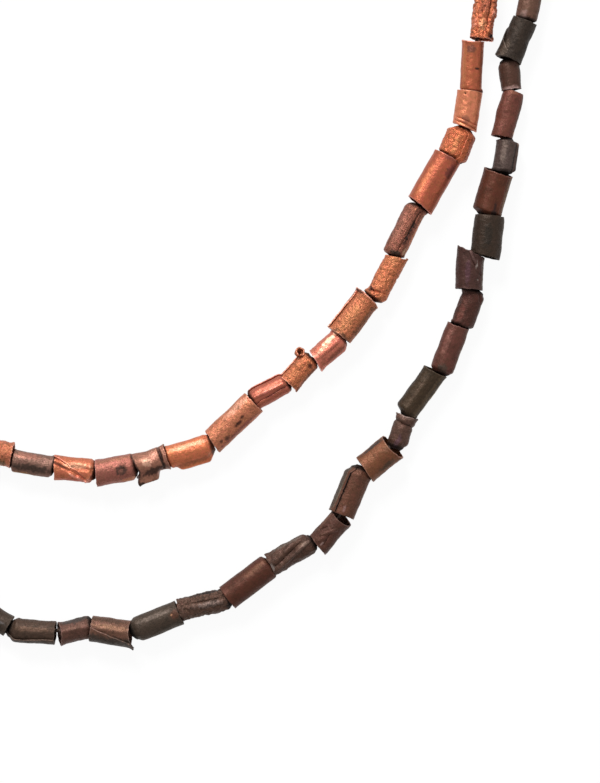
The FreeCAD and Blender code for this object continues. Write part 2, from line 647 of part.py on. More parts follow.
def make_toggle_tongue(doc, sheet):
    """The flat strip from the left cord end under the ring, with the hole for the bar's post."""
    body = doc.addObject("PartDesign::Body", "toggle_tongue")
    body.Label = "toggle_tongue"
    half = sheet.get("tongue_width") / 2
    reach = sheet.get("clasp_gap") + sheet.get("tail_depth")
    hole = sheet.get("post_diameter") / 2 + sheet.get("post_fit")
    outline = add_sketch(body, "tongue_outline", "XY_Plane")
    tip = Part.ArcOfCircle(Part.Circle(Vector(), UP, half), -math.pi / 2, math.pi / 2)
    arc = outline.addGeometry(tip)
    corners = [Vector(0, half, 0), Vector(-reach, half, 0), Vector(-reach, -half, 0), Vector(0, -half, 0)]
    lines = []
    for first, second in zip(corners, corners[1:]):
        lines.append(outline.addGeometry(Part.LineSegment(first, second)))
    round_hole = outline.addGeometry(Part.Circle(Vector(), UP, hole))
    outline.addConstraint(Sketcher.Constraint("Coincident", arc, 3, -1, 1))
    outline.addConstraint(Sketcher.Constraint("Coincident", round_hole, 3, -1, 1))
    outline.addConstraint(Sketcher.Constraint("Tangent", arc, 2, lines[0], 1))
    outline.addConstraint(Sketcher.Constraint("Coincident", lines[0], 2, lines[1], 1))
    outline.addConstraint(Sketcher.Constraint("Coincident", lines[1], 2, lines[2], 1))
    outline.addConstraint(Sketcher.Constraint("Tangent", lines[2], 2, arc, 1))
    outline.addConstraint(Sketcher.Constraint("Horizontal", lines[0]))
    outline.addConstraint(Sketcher.Constraint("Vertical", lines[1]))
    name_constraint(outline, "half_width", "Sizes.tongue_width / 2", "Radius", arc, half)
    name_constraint(outline, "hole", "Sizes.post_diameter / 2 + Sizes.post_fit",
                    "Radius", round_hole, hole)
    name_constraint(outline, "reach", "Sizes.clasp_gap + Sizes.tail_depth",
                    "DistanceX", lines[1], 1, -1, 1, reach)
    add_pad(body, "tongue", outline, "Sizes.tongue_wall", sheet.get("tongue_wall"))
    body.Placement = Placement(Vector(0, 0, sheet.evalExpression(TONGUE_HEIGHT)), Rotation())
    return body


def make_toggle_bar(doc):
    """The bar that lies across the ring, on a post riveted through the tongue."""
    level = f"({RING_HEIGHT} + Sizes.ring_wire / 2 + Sizes.bar_lift + Sizes.bar_wire / 2)"
    head_top = "(Sizes.rivet_lift + Sizes.rivet_head)"
    bar = add_rod(doc, "bar_rod", "Sizes.bar_wire / 2", "Sizes.bar_length",
                  ("0", "0 - Sizes.bar_length / 2", level), Vector(0, 1, 0))
    post = add_rod(doc, "bar_post", "Sizes.post_diameter / 2", f"{level} - {head_top}",
                   ("0", "0", head_top), UP)
    head = add_rod(doc, "rivet_head", "Sizes.rivet_diameter / 2", "Sizes.rivet_head",
                   ("0", "0", "Sizes.rivet_lift"), UP)
    return join(doc, "toggle_bar", "Part::MultiFuse", [bar, post, head])


def make_clasp(doc, sheet):
    """All the clasp's pieces, made round the bar's post and then moved to the +Y end."""
    pieces = [make_cord_end(doc, "left"), make_cord_end(doc, "right")]
    pieces += [make_toggle_ring(doc), make_toggle_tongue(doc, sheet), make_toggle_bar(doc)]
    doc.recompute()
    spacing = sheet.evalExpression(CLASP_SPACING)
    for piece in pieces:
        piece.Placement.Base.y += sheet.get("widest_y") + sheet.get("rise") - spacing / 2
    return pieces


# ---------------------------------------------------------------- main
def make_strand(doc, sheet, strand):
    """Every bead of a strand, named or in groups, and its cord."""
    rows = lay_out_strand(sheet, strand)
    objects = []
    for number, bead in enumerate(rows["named"], start=1):
        objects.append(make_bead(doc, sheet, f"{strand}_bead_{number:02d}", bead))
    for side in ("left", "right"):
        beads = rows[side]
        groups = math.ceil(len(beads) / GROUP_SIZE[strand])
        for group in range(groups):
            first = round(group * len(beads) / groups)
            last = round((group + 1) * len(beads) / groups)
            label = f"{strand}_{side}_beads_{group + 1}"
            objects.append(make_group(doc, sheet, label, beads[first:last]))
    objects.append(make_cord(doc, sheet, f"{strand}_cord", rows["route"]))
    return objects


def centre(objects):
    """Move everything so that the origin is under the middle of the necklace."""
    box = FreeCAD.BoundBox()
    for item in objects:
        box.add(item.Shape.optimalBoundingBox(False))
    for item in objects:
        item.Placement.Base -= Vector(box.Center.x, box.Center.y, box.ZMin)


def check(doc, objects):
    """Stop if anything failed to build."""
    for item in doc.Objects:
        if "Invalid" in item.State or "Error" in item.State:
            raise RuntimeError(f"{item.Label} failed: {item.State}")
    for item in objects:
        if item.Shape.isNull() or not item.Shape.isValid() or not item.Shape.Solids:
            raise RuntimeError(f"{item.Label} has no valid solid")


def build():
    doc = FreeCAD.newDocument("necklace")
    sheet = add_sizes(doc)
    objects = make_clasp(doc, sheet)
    for strand in STRANDS:
        objects += make_strand(doc, sheet, strand)
    doc.recompute()
    check(doc, objects)
    centre(objects)
    doc.recompute()
    check(doc, objects)
    return objects


def export(objects):
    os.makedirs("parts", exist_ok=True)
    for item in objects:
        item.Shape.exportStep(f"parts/{item.Label}.step")


sub_parts = build()
export(sub_parts)
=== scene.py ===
"""Two-strand necklace of rolled copper-sheet beads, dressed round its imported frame."""
import bmesh
import bpy
import json
import math
import random
from dataclasses import dataclass, replace
from functools import partial
from mathutils import Matrix, Vector, noise

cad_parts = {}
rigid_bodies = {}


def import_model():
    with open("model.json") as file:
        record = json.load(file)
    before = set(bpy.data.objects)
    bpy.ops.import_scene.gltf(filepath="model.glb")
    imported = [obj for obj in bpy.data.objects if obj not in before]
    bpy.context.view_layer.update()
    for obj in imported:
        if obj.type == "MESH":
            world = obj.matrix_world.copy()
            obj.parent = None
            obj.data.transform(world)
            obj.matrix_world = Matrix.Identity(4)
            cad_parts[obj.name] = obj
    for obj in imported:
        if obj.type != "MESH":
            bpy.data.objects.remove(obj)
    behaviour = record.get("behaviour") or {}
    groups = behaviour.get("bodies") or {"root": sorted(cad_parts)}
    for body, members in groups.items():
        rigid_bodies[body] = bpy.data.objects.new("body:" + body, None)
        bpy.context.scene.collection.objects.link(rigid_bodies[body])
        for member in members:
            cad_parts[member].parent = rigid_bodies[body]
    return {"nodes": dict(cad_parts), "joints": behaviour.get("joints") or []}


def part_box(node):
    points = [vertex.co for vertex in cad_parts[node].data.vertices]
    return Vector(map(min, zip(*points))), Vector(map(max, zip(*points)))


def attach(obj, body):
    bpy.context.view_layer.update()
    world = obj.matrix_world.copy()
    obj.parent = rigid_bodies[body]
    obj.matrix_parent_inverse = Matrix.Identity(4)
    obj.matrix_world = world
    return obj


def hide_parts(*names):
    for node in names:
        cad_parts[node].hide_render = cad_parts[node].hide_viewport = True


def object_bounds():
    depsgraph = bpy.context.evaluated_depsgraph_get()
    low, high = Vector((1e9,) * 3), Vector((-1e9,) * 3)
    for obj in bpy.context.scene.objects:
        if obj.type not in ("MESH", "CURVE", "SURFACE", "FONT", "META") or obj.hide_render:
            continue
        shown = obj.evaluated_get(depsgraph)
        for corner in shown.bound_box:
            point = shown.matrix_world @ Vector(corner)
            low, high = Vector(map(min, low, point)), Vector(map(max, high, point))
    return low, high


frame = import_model()
cad_low, cad_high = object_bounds()

MM = 0.001
UP = Vector((0, 0, 1))
# The body of everything but the spinning beads and the clasp's bar.
ROOT = next(joint["parent"] for joint in frame["joints"] if joint["child"] == "toggle_bar")


def add_to_scene(name, data):
    item = bpy.data.objects.new(name, data)
    bpy.context.scene.collection.objects.link(item)
    return item


def add_mesh(name, bm, material):
    """Make an object of a finished bmesh."""
    mesh = bpy.data.meshes.new(name)
    bm.to_mesh(mesh)
    bm.free()
    mesh.materials.append(material)
    return add_to_scene(name, mesh)


def add_piece(name, bm, material, body, replaced):
    """Make a smooth piece that rides on a body and stands in for a CAD node."""
    piece = add_mesh(name, bm, material)
    for polygon in piece.data.polygons:
        polygon.use_smooth = True
    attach(piece, body)
    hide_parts(replaced)
    return piece


# ---------------------------------------------------------------- camera
VIEW_RIGHT_OF_CLASP = 37.0 * MM    # the view's middle, from the clasp's line
VIEW_ABOVE_LOWEST = 42.2 * MM      # and from the lowest bead
VIEW_HEIGHT = 130.5 * MM           # what the view takes in, from top to bottom
LENS = 100.0
SENSOR = 36.0
FAR_LIMIT = 100.0                  # how far the camera sees, in metres


def add_camera():
    """A long lens looking straight down on the right-hand front of the necklace."""
    bar_low, bar_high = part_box("toggle_bar")
    data = bpy.data.cameras.new("camera")
    data.lens = LENS
    data.sensor_width = SENSOR
    data.clip_end = FAR_LIMIT
    camera = add_to_scene("camera", data)
    camera.location = ((bar_low.x + bar_high.x) / 2 + VIEW_RIGHT_OF_CLASP,
                       cad_low.y + VIEW_ABOVE_LOWEST,
                       VIEW_HEIGHT * LENS / SENSOR + (cad_low.z + cad_high.z) / 2)
    bpy.context.scene.camera = camera


add_camera()


# ---------------------------------------------------------------- materials
def linear(code):
    """A colour written as sRGB hex, as Blender's linear values."""
    channels = [int(code[i:i + 2], 16) / 255 for i in (1, 3, 5)]
    straight = [c / 12.92 if c <= 0.04045 else ((c + 0.055) / 1.055) ** 2.4 for c in channels]
    return (*straight, 1.0)


def add_node(tree, kind, inputs=(), **settings):
    """Add a node. settings go to its properties, and inputs to its sockets, in order or by name.
    An input is a value, an output, a node whose first output is meant, or None to skip it."""
    node = tree.nodes.new("ShaderNode" + kind)
    for key, value in settings.items():
        setattr(node, key, value)
    if isinstance(inputs, dict):
        pairs = [(node.inputs[key], value) for key, value in inputs.items()]
    else:
        pairs = zip([socket for socket in node.inputs if socket.enabled], inputs)
    for socket, value in pairs:
        if isinstance(value, bpy.types.Node):
            value = next(output for output in value.outputs if output.enabled)
        if isinstance(value, bpy.types.NodeSocket):
            tree.links.new(value, socket)
        elif value is not None:
            socket.default_value = value
    return node


def new_material(name):
    """An empty material, and the function that adds nodes to it."""
    material = bpy.data.materials.new(name)
    material.use_nodes = True
    material.node_tree.nodes.clear()
    return material, partial(add_node, material.node_tree)


def sheet_copper(name, metallic, roughness, sheen, stain_share, bump):
    """Hand-rolled copper sheet. Each bead brings its own tint and stain colours, with painted
    highlights and painted shade among its patches, and says where its rims, ridges and hollows
    are, so that the metal is brighter where it was rubbed, darker in creases and where flux or
    patina stayed, and painted dark as shade where a tucked end lies in its neighbour's mouth."""
    material, add = new_material(name)
    place = add("TexCoord").outputs["Object"]
    tint, stain, relief, roll = (add("Attribute", attribute_name=layer)
                                 for layer in ("tint", "stain", "relief", "roll"))
    rubbed, hollow, coarse = add("SeparateColor", (relief,)).outputs
    # Rolling and scraping leave streaks along the sheet, 0.25 mm wide and ten times as long.
    drawn = add("Mapping", {"Vector": roll.outputs["Vector"], "Scale": (4.0, 0.4, 1.0)})
    # Heat and patina leave blotches about 1.5 mm across, mottling of 0.5 mm and grit of 0.16 mm,
    # and old flux has left dark pits 0.35 mm across on the coarse beads.
    streak, blotch, mottle, grit, pit = (
        add("TexNoise", cloud)
        for cloud in ((drawn, 1.0, 4.0, 0.6), (place, 1 / (1.5 * MM), 6.0, 0.65),
                      (place, 1 / (0.5 * MM), 3.0, 0.6), (place, 1 / (0.16 * MM), 3.0, 0.6),
                      (place, 1 / (0.35 * MM), 2.0, 0.5)))
    # Each layer runs evenly round 0, and the coarse beads show more of its grit and mottling.
    layers = []
    for cloud, shown, most, least in ((streak, relief.outputs["Alpha"], 1.0, 0.0),
                                      (grit, coarse, 0.85, 0.15), (mottle, coarse, 0.7, 0.3)):
        level = add("MapRange", (cloud, 0.3, 0.7, -0.5, 0.5))
        share = add("Math", (shown, most, least), operation="MULTIPLY_ADD")
        layers.append(add("Math", (level, share), operation="MULTIPLY"))
    streaked, gritty, mottled = layers
    # Weighed sums: how much stain has stayed, more in the creases and, as painted shade, on
    # the tucked ends, how light the sheet is, and how high its grain.
    sums = []
    for total, *terms in ((blotch, (hollow, 0.5), (streaked, 0.25), (gritty, 0.3),
                           (mottled, 0.25)),
                          (1.0, (gritty, -0.5), (mottled, -0.35)),
                          (mottled, (gritty, 0.8), (streaked, 0.4))):
        for layer, share in terms:
            total = add("Math", (layer, share, total), operation="MULTIPLY_ADD")
        sums.append(total)
    dirt, lively, height = sums
    stained = add("MapRange", (dirt, 0.5 - stain_share, 0.85 - stain_share))
    body = add("Mix", (stained, tint, stain), data_type="RGBA")
    # Copper oxide turns redder where it is thicker: the hue wanders a little with the mottling.
    hue = add("MapRange", (mottle, 0.3, 0.7, 0.49, 0.505))
    body = add("HueSaturation", {"Color": body, "Hue": hue, "Value": lively})
    # Pits are darkest on the coarsest sheet. The deepest creases are darker, and the tucked
    # ends inside their neighbours' mouths are darkened as painted shade.
    deep = add("MapRange", (pit, 0.58, 0.68))
    halved = add("Math", (coarse, -0.5), operation="MULTIPLY")
    pitted = add("Math", (deep, halved), operation="MULTIPLY")
    for darker in (add("Math", (pitted, coarse, 1.0), operation="MULTIPLY_ADD"),
                   add("MapRange", (hollow, 0.4, 1.0, 1.0, 0.3))):
        body = add("HueSaturation", {"Color": body, "Value": darker})
    # Rims and ridges are rubbed to bare, paler metal, most of all along the scraped streaks.
    bare = add("HueSaturation", {"Color": body, "Value": 1.9, "Saturation": 0.8})
    scraped = add("MapRange", (streak, 0.2, 0.6, 0.6, 1.3))
    rubbing = add("Math", (rubbed, scraped), operation="MULTIPLY")
    worn = add("MapRange", (rubbing, 0.25))
    colour = add("Mix", (worn, body, bare), data_type="RGBA")
    dull = add("MapRange", (dirt, 0.3, 0.9, roughness - 0.08, roughness + 0.15))
    grain = add("Bump", {"Height": height, "Strength": bump, "Distance": 0.07 * MM})
    shader = add("BsdfPrincipled", {"Base Color": colour, "Roughness": dull, "Normal": grain,
                                    "Metallic": metallic, "Specular IOR Level": sheen})
    add("OutputMaterial", (shader,))
    return material


# Bright orange to salmon copper with a soft glow, cleaned in acid after it was annealed.
PICKLED = sheet_copper("pickled_copper_sheet", 0.6, 0.42, 0.4, 0.0, 0.8)
# Brown, purple and nearly black copper, duller, with more of the stain in its hollows.
PATINATED = sheet_copper("patinated_copper_sheet", 0.4, 0.5, 0.3, 0.04, 0.8)


def handled_copper(name):
    """Hammered copper, bright where fingers rub it and brown in the hammer's marks."""
    material, add = new_material(name)
    place = add("TexCoord").outputs["Object"]
    # Fingers wear it in patches 2.5 mm across. The hammer's marks are 1.1 mm wide.
    wear = add("TexNoise", (place, 1 / (2.5 * MM), 8.0, 0.7))
    blows = add("TexVoronoi", (place, 1 / (1.1 * MM)), feature="SMOOTH_F1")
    marks = add("MapRange", (blows, 0.1, 0.7))
    bright = add("Math", (marks, -0.2, wear), operation="MULTIPLY_ADD")
    rubbed = add("MapRange", (bright, 0.25, 0.6))
    colour = add("Mix", (rubbed, linear("#7a4a36"), linear("#c98464")), data_type="RGBA")
    height = add("Math", (wear, 0.3, marks), operation="MULTIPLY_ADD")
    grain = add("Bump", {"Height": height, "Strength": 0.7, "Distance": 0.12 * MM})
    # The rubbed patches are polished smoother than the brown ones.
    dull = add("MapRange", (wear, 0.3, 0.7, 0.46, 0.34))
    shader = add("BsdfPrincipled", {"Base Color": colour, "Roughness": dull, "Normal": grain,
                                    "Metallic": 0.8})
    add("OutputMaterial", (shader,))
    return material


def waxed_linen(name):
    """Waxed linen cord: twisted dark brown plies with a dull sheen."""
    material, add = new_material(name)
    place = add("TexCoord").outputs["Object"]
    fibre = add("TexNoise", (place, 1 / (0.25 * MM), 2.0))
    slanted = add("Mapping", {"Vector": place, "Rotation": (0, 0, math.radians(35))})
    # A wave of scale 1 repeats every 0.314 m, and the fibres of a ply are 0.45 mm apart.
    plies = add("TexWave", (slanted, 0.314 / (0.45 * MM), 0.6)).outputs["Fac"]
    twist = add("Math", (fibre, 0.4, plies), operation="MULTIPLY_ADD")
    light = add("MapRange", (twist, 0.1, 1.2))
    colour = add("Mix", (light, linear("#1e140f"), linear("#5b4233")), data_type="RGBA")
    grain = add("Bump", {"Height": twist, "Strength": 0.8, "Distance": 0.1 * MM})
    shader = add("BsdfPrincipled", {"Base Color": colour, "Roughness": 0.55, "Normal": grain})
    add("OutputMaterial", (shader,))
    return material


CLASP_COPPER = handled_copper("hammered_clasp_copper")
LINEN = waxed_linen("waxed_linen_cord")


# ---------------------------------------------------------------- beads
SHEET = 0.3 * MM             # thickness of the CAD beads' sheet
NAMED_GRID = (110, 56)       # faces round and along one bead of the front
BACK_GRID = (60, 30)         # and of the back, which is seen only in other views

# The drawn sheet, in millimetres.
WALL = 0.22                  # its thickness where the blows have thinned it
LAP = math.radians(60)       # how far it laps over itself
DENT_SIZE = 2.6              # width of the large dents
RIM_FALL = 0.4               # length over which a turned-out rim falls back to the roll
EAR_FALL = 0.7               # the same of an ear
RIM_WEAR = 0.13              # width of the worn rims
NECK = 0.3                   # length over which a tucked end narrows
THIN_TIP = 0.75              # radius of the thinnest tucked end
TUCK_DEPTH = 0.2             # how far a tucked end goes into a mouth straight ahead
MOUTH_GAP = 0.05             # room that such a mouth leaves before the middle of the gap
BUTT_GAP = 0.08              # the same of two ends that don't go into each other
SNUG = 0.2                   # share of a neighbour's swing that the neck leaves free
SNUG_LEAN = 0.5              # the same between two ends that don't go into each other
PLAY = 0.09                  # room between a tucked end and the mouth round it
EDGE = 0.07                  # share of the length in which a lifted edge rises


@dataclass
class Look:
    """How a bead looks. Angles are in degrees round its axis, 0 straight up, growing to the left
    of its direction. Lengths are in millimetres, and places along a bead run from 0 to 1."""
    tint: str                       # colour of the clean sheet
    stain: float = 0.55             # brightness of the stained sheet next to the clean one
    seam: float = 180               # where the sheet's outer edge lies
    hand: int = 1                   # the side to which the outer layer runs from its edge
    skew: float = 0                 # how far that edge turns from the near end to the far one
    wide: float = 1.0               # width next to the CAD bead's
    squash: float = 0.94            # thickness next to the width
    bulge: float = 0.0              # how much wider the middle is than the ends
    taper: float = 0.0              # how much wider the far end is than the near one
    shift: tuple = (0.0, 0.0)       # how far each end hangs to the left of the bore
    tuck: tuple = (False, False)    # ends that go into the neighbour's mouth
    tip: tuple = (1.0, 1.0)         # how well such an end fills that mouth
    longer: tuple = (0.0, 0.0)      # length added at each end
    slant: tuple = (0.0, 0.0)       # height of each end's slope
    slant_side: tuple = (-90, 90)   # the side on which the sheet reaches furthest
    ragged: float = 0.1             # unevenness of the ends
    flare: tuple = (0.03, 0.03)     # how far the two rims are turned out
    rim: float = 1.0                # how bright the worn rims are
    dents: float = 0.14             # depth of the large dents
    beat: float = 0.04              # depth of the small hammered facets
    beat_size: float = 0.8          # width of those facets
    wrinkle: float = 0.0            # height of sharp folds
    wrinkle_size: float = 1.2       # distance between those folds
    open: float = 0.05              # how far the outer edge stands off, 0 shut and 1 straight
    open_width: float = 1.0         # width of the strip beside it that bends away
    open_from: float = 0.0          # the part of the length that stands off
    open_to: float = 1.0
    ridges: tuple = ()              # angle and place of both ends, width, height or -depth
    pits: tuple = ()                # angle, place, size, depth
    # Some patches are painted light: lighter ones on the side facing the upper-left softbox are
    # painted highlights, and darker or tan ones low on the other side are painted shade and
    # painted reflected light.
    paint: tuple = ()               # angle, place, size round and along, colour
    ears: tuple = ()                # end, angle, width, how far past the end, how far out
    curls: tuple = ()               # angle, place, radius and lean of a scroll at a torn corner
    grain: float = 0.5              # how coarse the surface is
    streak: float = 0.5             # how much of the stain runs in lengthwise streaks


def smooth_step(low, high, value):
    """0 below low, 1 above high, and a smooth rise between them."""
    share = min(max((value - low) / (high - low), 0.0), 1.0)
    return share * share * (3 - 2 * share)


def uneven(point, size, seed):
    """Smooth noise between about -1 and 1, with lumps of the given size. Every seed has lumps of
    its own, so that no two beads or layers of relief are alike."""
    return noise.noise(Vector(point) / size + Vector((seed * 7.13, seed * 3.71, seed * 1.37)))


def turn_between(first, second):
    """The smallest angle from one direction to the other, both in radians."""
    return (first - second + math.pi) % (2 * math.pi) - math.pi


def hump(gap, width):
    """1 at its middle, falling smoothly to 0 beyond its width."""
    return math.exp(-(gap / width) ** 2)


def distance_to_line(spot, first, second):
    """Distance from a spot on the flat sheet to a straight line between two others."""
    run = (second[0] - first[0], second[1] - first[1])
    off = (spot[0] - first[0], spot[1] - first[1])
    share = (off[0] * run[0] + off[1] * run[1]) / (run[0] ** 2 + run[1] ** 2)
    share = min(max(share, 0.0), 1.0)
    return math.hypot(off[0] - run[0] * share, off[1] - run[1] * share)


@dataclass
class RolledSheet:
    """One bead's sheet, and where each point of it goes. All lengths are in millimetres."""
    look: Look
    radius: float
    length: float
    ends: list
    seed: int

    def round_to(self, degrees, world):
        """Distance round the bead from one angle to an angle of its look."""
        return turn_between(math.radians(degrees), world) * self.radius

    def profile(self, share, gaps):
        """Radius at a place: the bulge, the taper, the rims and the necks of tucked ends."""
        look = self.look
        radius = self.radius * (1 + look.bulge * (0.5 - 2 * (share - 0.5) ** 2))
        radius *= 1 + look.taper * (share - 0.5)
        for end, flare, gap in zip(self.ends, look.flare, gaps):
            if end["tip"]:
                tip, throat, depth, neck = (end[key] for key in ("tip", "throat", "depth", "neck"))
                slim = tip + (throat - tip) * smooth_step(0.0, depth, gap)
                radius = slim + (radius - slim) * smooth_step(depth, depth + neck, gap)
            else:
                radius += flare * math.exp(-gap / RIM_FALL)
        return radius

    def end_heights(self, world, nominal):
        """Heights of the sheet's two ends at one angle: slanted, torn and with their ears."""
        look = self.look
        heights = []
        for end, sign in ((0, -1), (1, 1)):
            slope = look.slant[end] * math.cos(world - math.radians(look.slant_side[end]))
            tear = uneven((*nominal, 3.0 + end * 5), 1.1, self.seed + 5)
            tear += 0.6 * uneven((*nominal, 9.0), 0.45, self.seed)
            reach = self.ends[end]["reach"] + look.ragged * tear + slope - look.slant[end]
            reach += look.longer[end]
            reach += sum(past * hump(self.round_to(angle, world), width)
                         for which, angle, width, past, out in look.ears if which == end)
            heights.append(sign * reach + end * self.length)
        return heights

    def relief(self, world, spot, share):
        """How far the sheet stands out from its roll: dents, facets, folds, ridges and pits."""
        look = self.look
        depth = (uneven(spot, DENT_SIZE, self.seed) - 0.5) * look.dents
        depth += uneven(spot, look.beat_size, self.seed + 11) * look.beat
        depth += uneven(spot, look.beat_size * 0.45, self.seed + 23) * look.beat * 0.5
        if look.wrinkle:
            fold = 1 - 2.4 * abs(uneven(spot, look.wrinkle_size, self.seed + 31))
            depth += look.wrinkle * fold
        flat = (0.0, share * self.length)
        for angle_1, place_1, angle_2, place_2, width, rise in look.ridges:
            line = ((self.round_to(angle_1, world), place_1 * self.length),
                    (self.round_to(angle_2, world), place_2 * self.length))
            depth += rise * hump(distance_to_line(flat, *line), width)
        for angle, place, size, pit in look.pits:
            gap = math.hypot(self.round_to(angle, world), place * self.length - flat[1])
            depth -= pit * hump(gap, size)
        return depth

    def ear_out(self, world, gaps):
        """How far the ears of both ends stand out."""
        return sum(out * hump(self.round_to(angle, world), width)
                   * math.exp(-max(gaps[end], 0) / EAR_FALL)
                   for end, angle, width, past, out in self.look.ears)

    def point(self, around, along):
        """around runs from the outer free edge to the inner one, and along from the near end
        to the far end. Returns the place, the relief, the distance to the nearest edge, the
        angle round the bead, and the painted shade of a place inside the neighbour's mouth."""
        look = self.look
        first = math.radians(look.skew) * (along - 0.5)
        first += uneven((0, 0, along * self.length), 1.3, self.seed + 3) * 0.1 / self.radius
        angle = first + (2 * math.pi + LAP - first) * around
        world = math.radians(look.seam) + angle * look.hand
        nominal = (self.radius * math.cos(world), self.radius * math.sin(world))
        low, high = self.end_heights(world, nominal)
        height = low + (high - low) * along
        gaps = (height - low, high - height)
        relief = self.relief(world, (*nominal, height), along)
        shift = look.shift[0] + (look.shift[1] - look.shift[0]) * along
        soot = 0.0
        for end, gap in zip(self.ends, gaps):
            if end["tip"]:
                # A tucked end is pressed smooth and runs back to the bore, and the part inside the
                # mouth is painted dark as shade.
                relief *= 0.3 + 0.7 * smooth_step(0.0, end["depth"] + 0.5, gap)
                shift *= smooth_step(end["depth"], end["depth"] + 1.5 * end["neck"], gap)
                soot = max(soot, 1 - smooth_step(end["depth"] * 0.6, end["depth"] + 0.35, gap))
        reach = self.profile(along, gaps) - (WALL + 0.05) * angle / (2 * math.pi)
        reach += relief + self.ear_out(world, gaps)
        x, y = self.stand_off(angle - first, world, reach, along)
        edge = min(*gaps, (angle - first) * self.radius)
        return Vector((x * look.squash, y + shift, height)), relief, edge, world, soot

    def stand_off(self, angle, world, reach, along):
        """Bend the strip beside the outer edge away from the roll."""
        look = self.look
        width = look.open_width / self.radius
        rise, fall = (smooth_step(place - EDGE, place + EDGE, along)
                      for place in (look.open_from, look.open_to))
        stand = look.open * rise * (1 - fall)
        if angle >= width or stand == 0:
            return reach * math.cos(world), reach * math.sin(world)
        turned = world + (width - angle) * look.hand
        run = (width - angle) * self.radius
        bend = (1 - stand) / self.radius
        if abs(bend) < 1e-4:
            sideways, inward = run, 0.0
        else:
            sideways = math.sin(bend * run) / bend
            inward = (1 - math.cos(bend * run)) / bend
        sideways *= look.hand
        return (math.cos(turned) * (reach - inward) + math.sin(turned) * sideways,
                math.sin(turned) * (reach - inward) - math.cos(turned) * sideways)

    def tint_at(self, world, along, height):
        """Colour of the clean sheet at a point, with the patches painted on it: the sheet's own
        patches, and painted highlights and painted shade.
        """
        colour = Vector(linear(self.look.tint)[:3])
        for angle, place, around, length, code in self.look.paint:
            off = -self.round_to(angle, world) / around
            gap = (along - place) * self.length / length
            edge = uneven((off * around, gap * length, height), 0.5, self.seed + 41) * 0.5
            share = 1 - smooth_step(0.55, 1.15, math.hypot(off, gap) + edge)
            colour = colour.lerp(Vector(linear(code)[:3]), share)
        return (*colour, 1.0)

    def mark(self, vertex, layers, colour, rubbed, hollow, roll):
        """Note on a vertex what its material needs to know."""
        tint, stain, relief, rolled = layers
        vertex[tint] = colour
        vertex[stain] = [channel * self.look.stain for channel in colour]
        vertex[relief] = (min(rubbed, 1), min(hollow, 1), self.look.grain, self.look.streak)
        vertex[rolled] = roll


def roll_sheet(bm, layers, place, sheet, rows, columns):
    """Roll one flat grid of sheet into a bead at its place, and note its tints and relief."""
    grid = bmesh.ops.create_grid(bm, x_segments=columns, y_segments=rows, size=0.5)
    for vertex in grid["verts"]:
        along = vertex.co.x + 0.5
        spot, depth, edge, world, soot = sheet.point(vertex.co.y + 0.5, along)
        # Rims and ridges are rubbed, creases deeper than the dents are darker, and the part of a
        # tucked end inside its neighbour's mouth is painted dark as shade.
        rubbed = sheet.look.rim * math.exp(-edge / RIM_WEAR) + max(depth - 0.02, 0) * 2.5
        hollow = max(-depth - sheet.look.dents * 0.9, 0) * 3.0 + soot
        sheet.mark(vertex, layers, sheet.tint_at(world, along, spot.z), rubbed, hollow,
                   (world * sheet.radius, spot.z, sheet.seed * 3.1))
        vertex.co = place @ (spot * MM)
    return grid["verts"]


def bead_frame(start, direction):
    """Turn a bead's own frame, +Z along it and +X straight up, to where the bead lies."""
    turn = Matrix((UP, UP.cross(direction), direction)).transposed().to_4x4()
    return Matrix.Translation(start) @ turn


def face_outwards(verts, middle, direction):
    """Turn the faces of one rolled sheet so that they point away from its axis."""
    faces = {face for vertex in verts for face in vertex.link_faces}
    score = 0
    for face in faces:
        off = face.calc_center_median() - middle
        off -= direction * off.dot(direction)
        score += face.normal.dot(off)
    if score < 0:
        for face in faces:
            face.normal_flip()


def add_curl(bm, layers, place, sheet, curl):
    """Roll a small scroll at a torn corner of a bead's sheet."""
    angle, share, size, lean = curl
    angle, lean = math.radians(angle), math.radians(lean)
    stand = sheet.radius + size * 0.45
    centre = Vector((math.cos(angle) * stand * sheet.look.squash, math.sin(angle) * stand,
                     share * sheet.length))
    axis = Vector((math.cos(lean), 0, math.sin(lean)))
    left = Vector((0, 1, 0))
    across = axis.cross(left)
    colour = sheet.tint_at(angle, share, 0.0)
    grid = bmesh.ops.create_grid(bm, x_segments=40, y_segments=8, size=0.5)
    for vertex in grid["verts"]:
        turn = math.pi * 1.9 * vertex.co.x + angle
        up = vertex.co.y
        reach = size * (1 - 0.2 * vertex.co.x) * (0.15 + 0.85 * smooth_step(-0.5, 0.1, up))
        reach += 0.12 * uneven((math.cos(turn), math.sin(turn), up), 0.7, sheet.seed + 51)
        spot = centre + axis * (up * size * 1.7)
        spot += (left * math.cos(turn) + across * math.sin(turn)) * reach
        # The scroll's top edge is rubbed, and its lower half, where it narrows down into the bead,
        # is painted dark as shade.
        sheet.mark(vertex, layers, colour, 0.5 * smooth_step(0.35, 0.5, up),
                   1 - smooth_step(-0.3, 0.2, up), (turn * size, up, sheet.seed))
        vertex.co = place @ (spot * MM)
    face_outwards(grid["verts"], place @ (centre * MM), place.to_3x3() @ axis)


# ---------------------------------------------------------------- where the beads are
@dataclass
class Place:
    """Where one bead is, in metres."""
    node: str
    middle: Vector
    length: float
    radius: float
    direction: Vector

    def end(self, which):
        """The middle of the near end, 0, or of the far end, 1."""
        return self.middle + self.direction * (self.length / 2 * (1 if which else -1))


def span(values):
    """The middle of some numbers, and how far they reach from the least to the greatest."""
    low, high = min(values), max(values)
    return (high + low) / 2, high - low


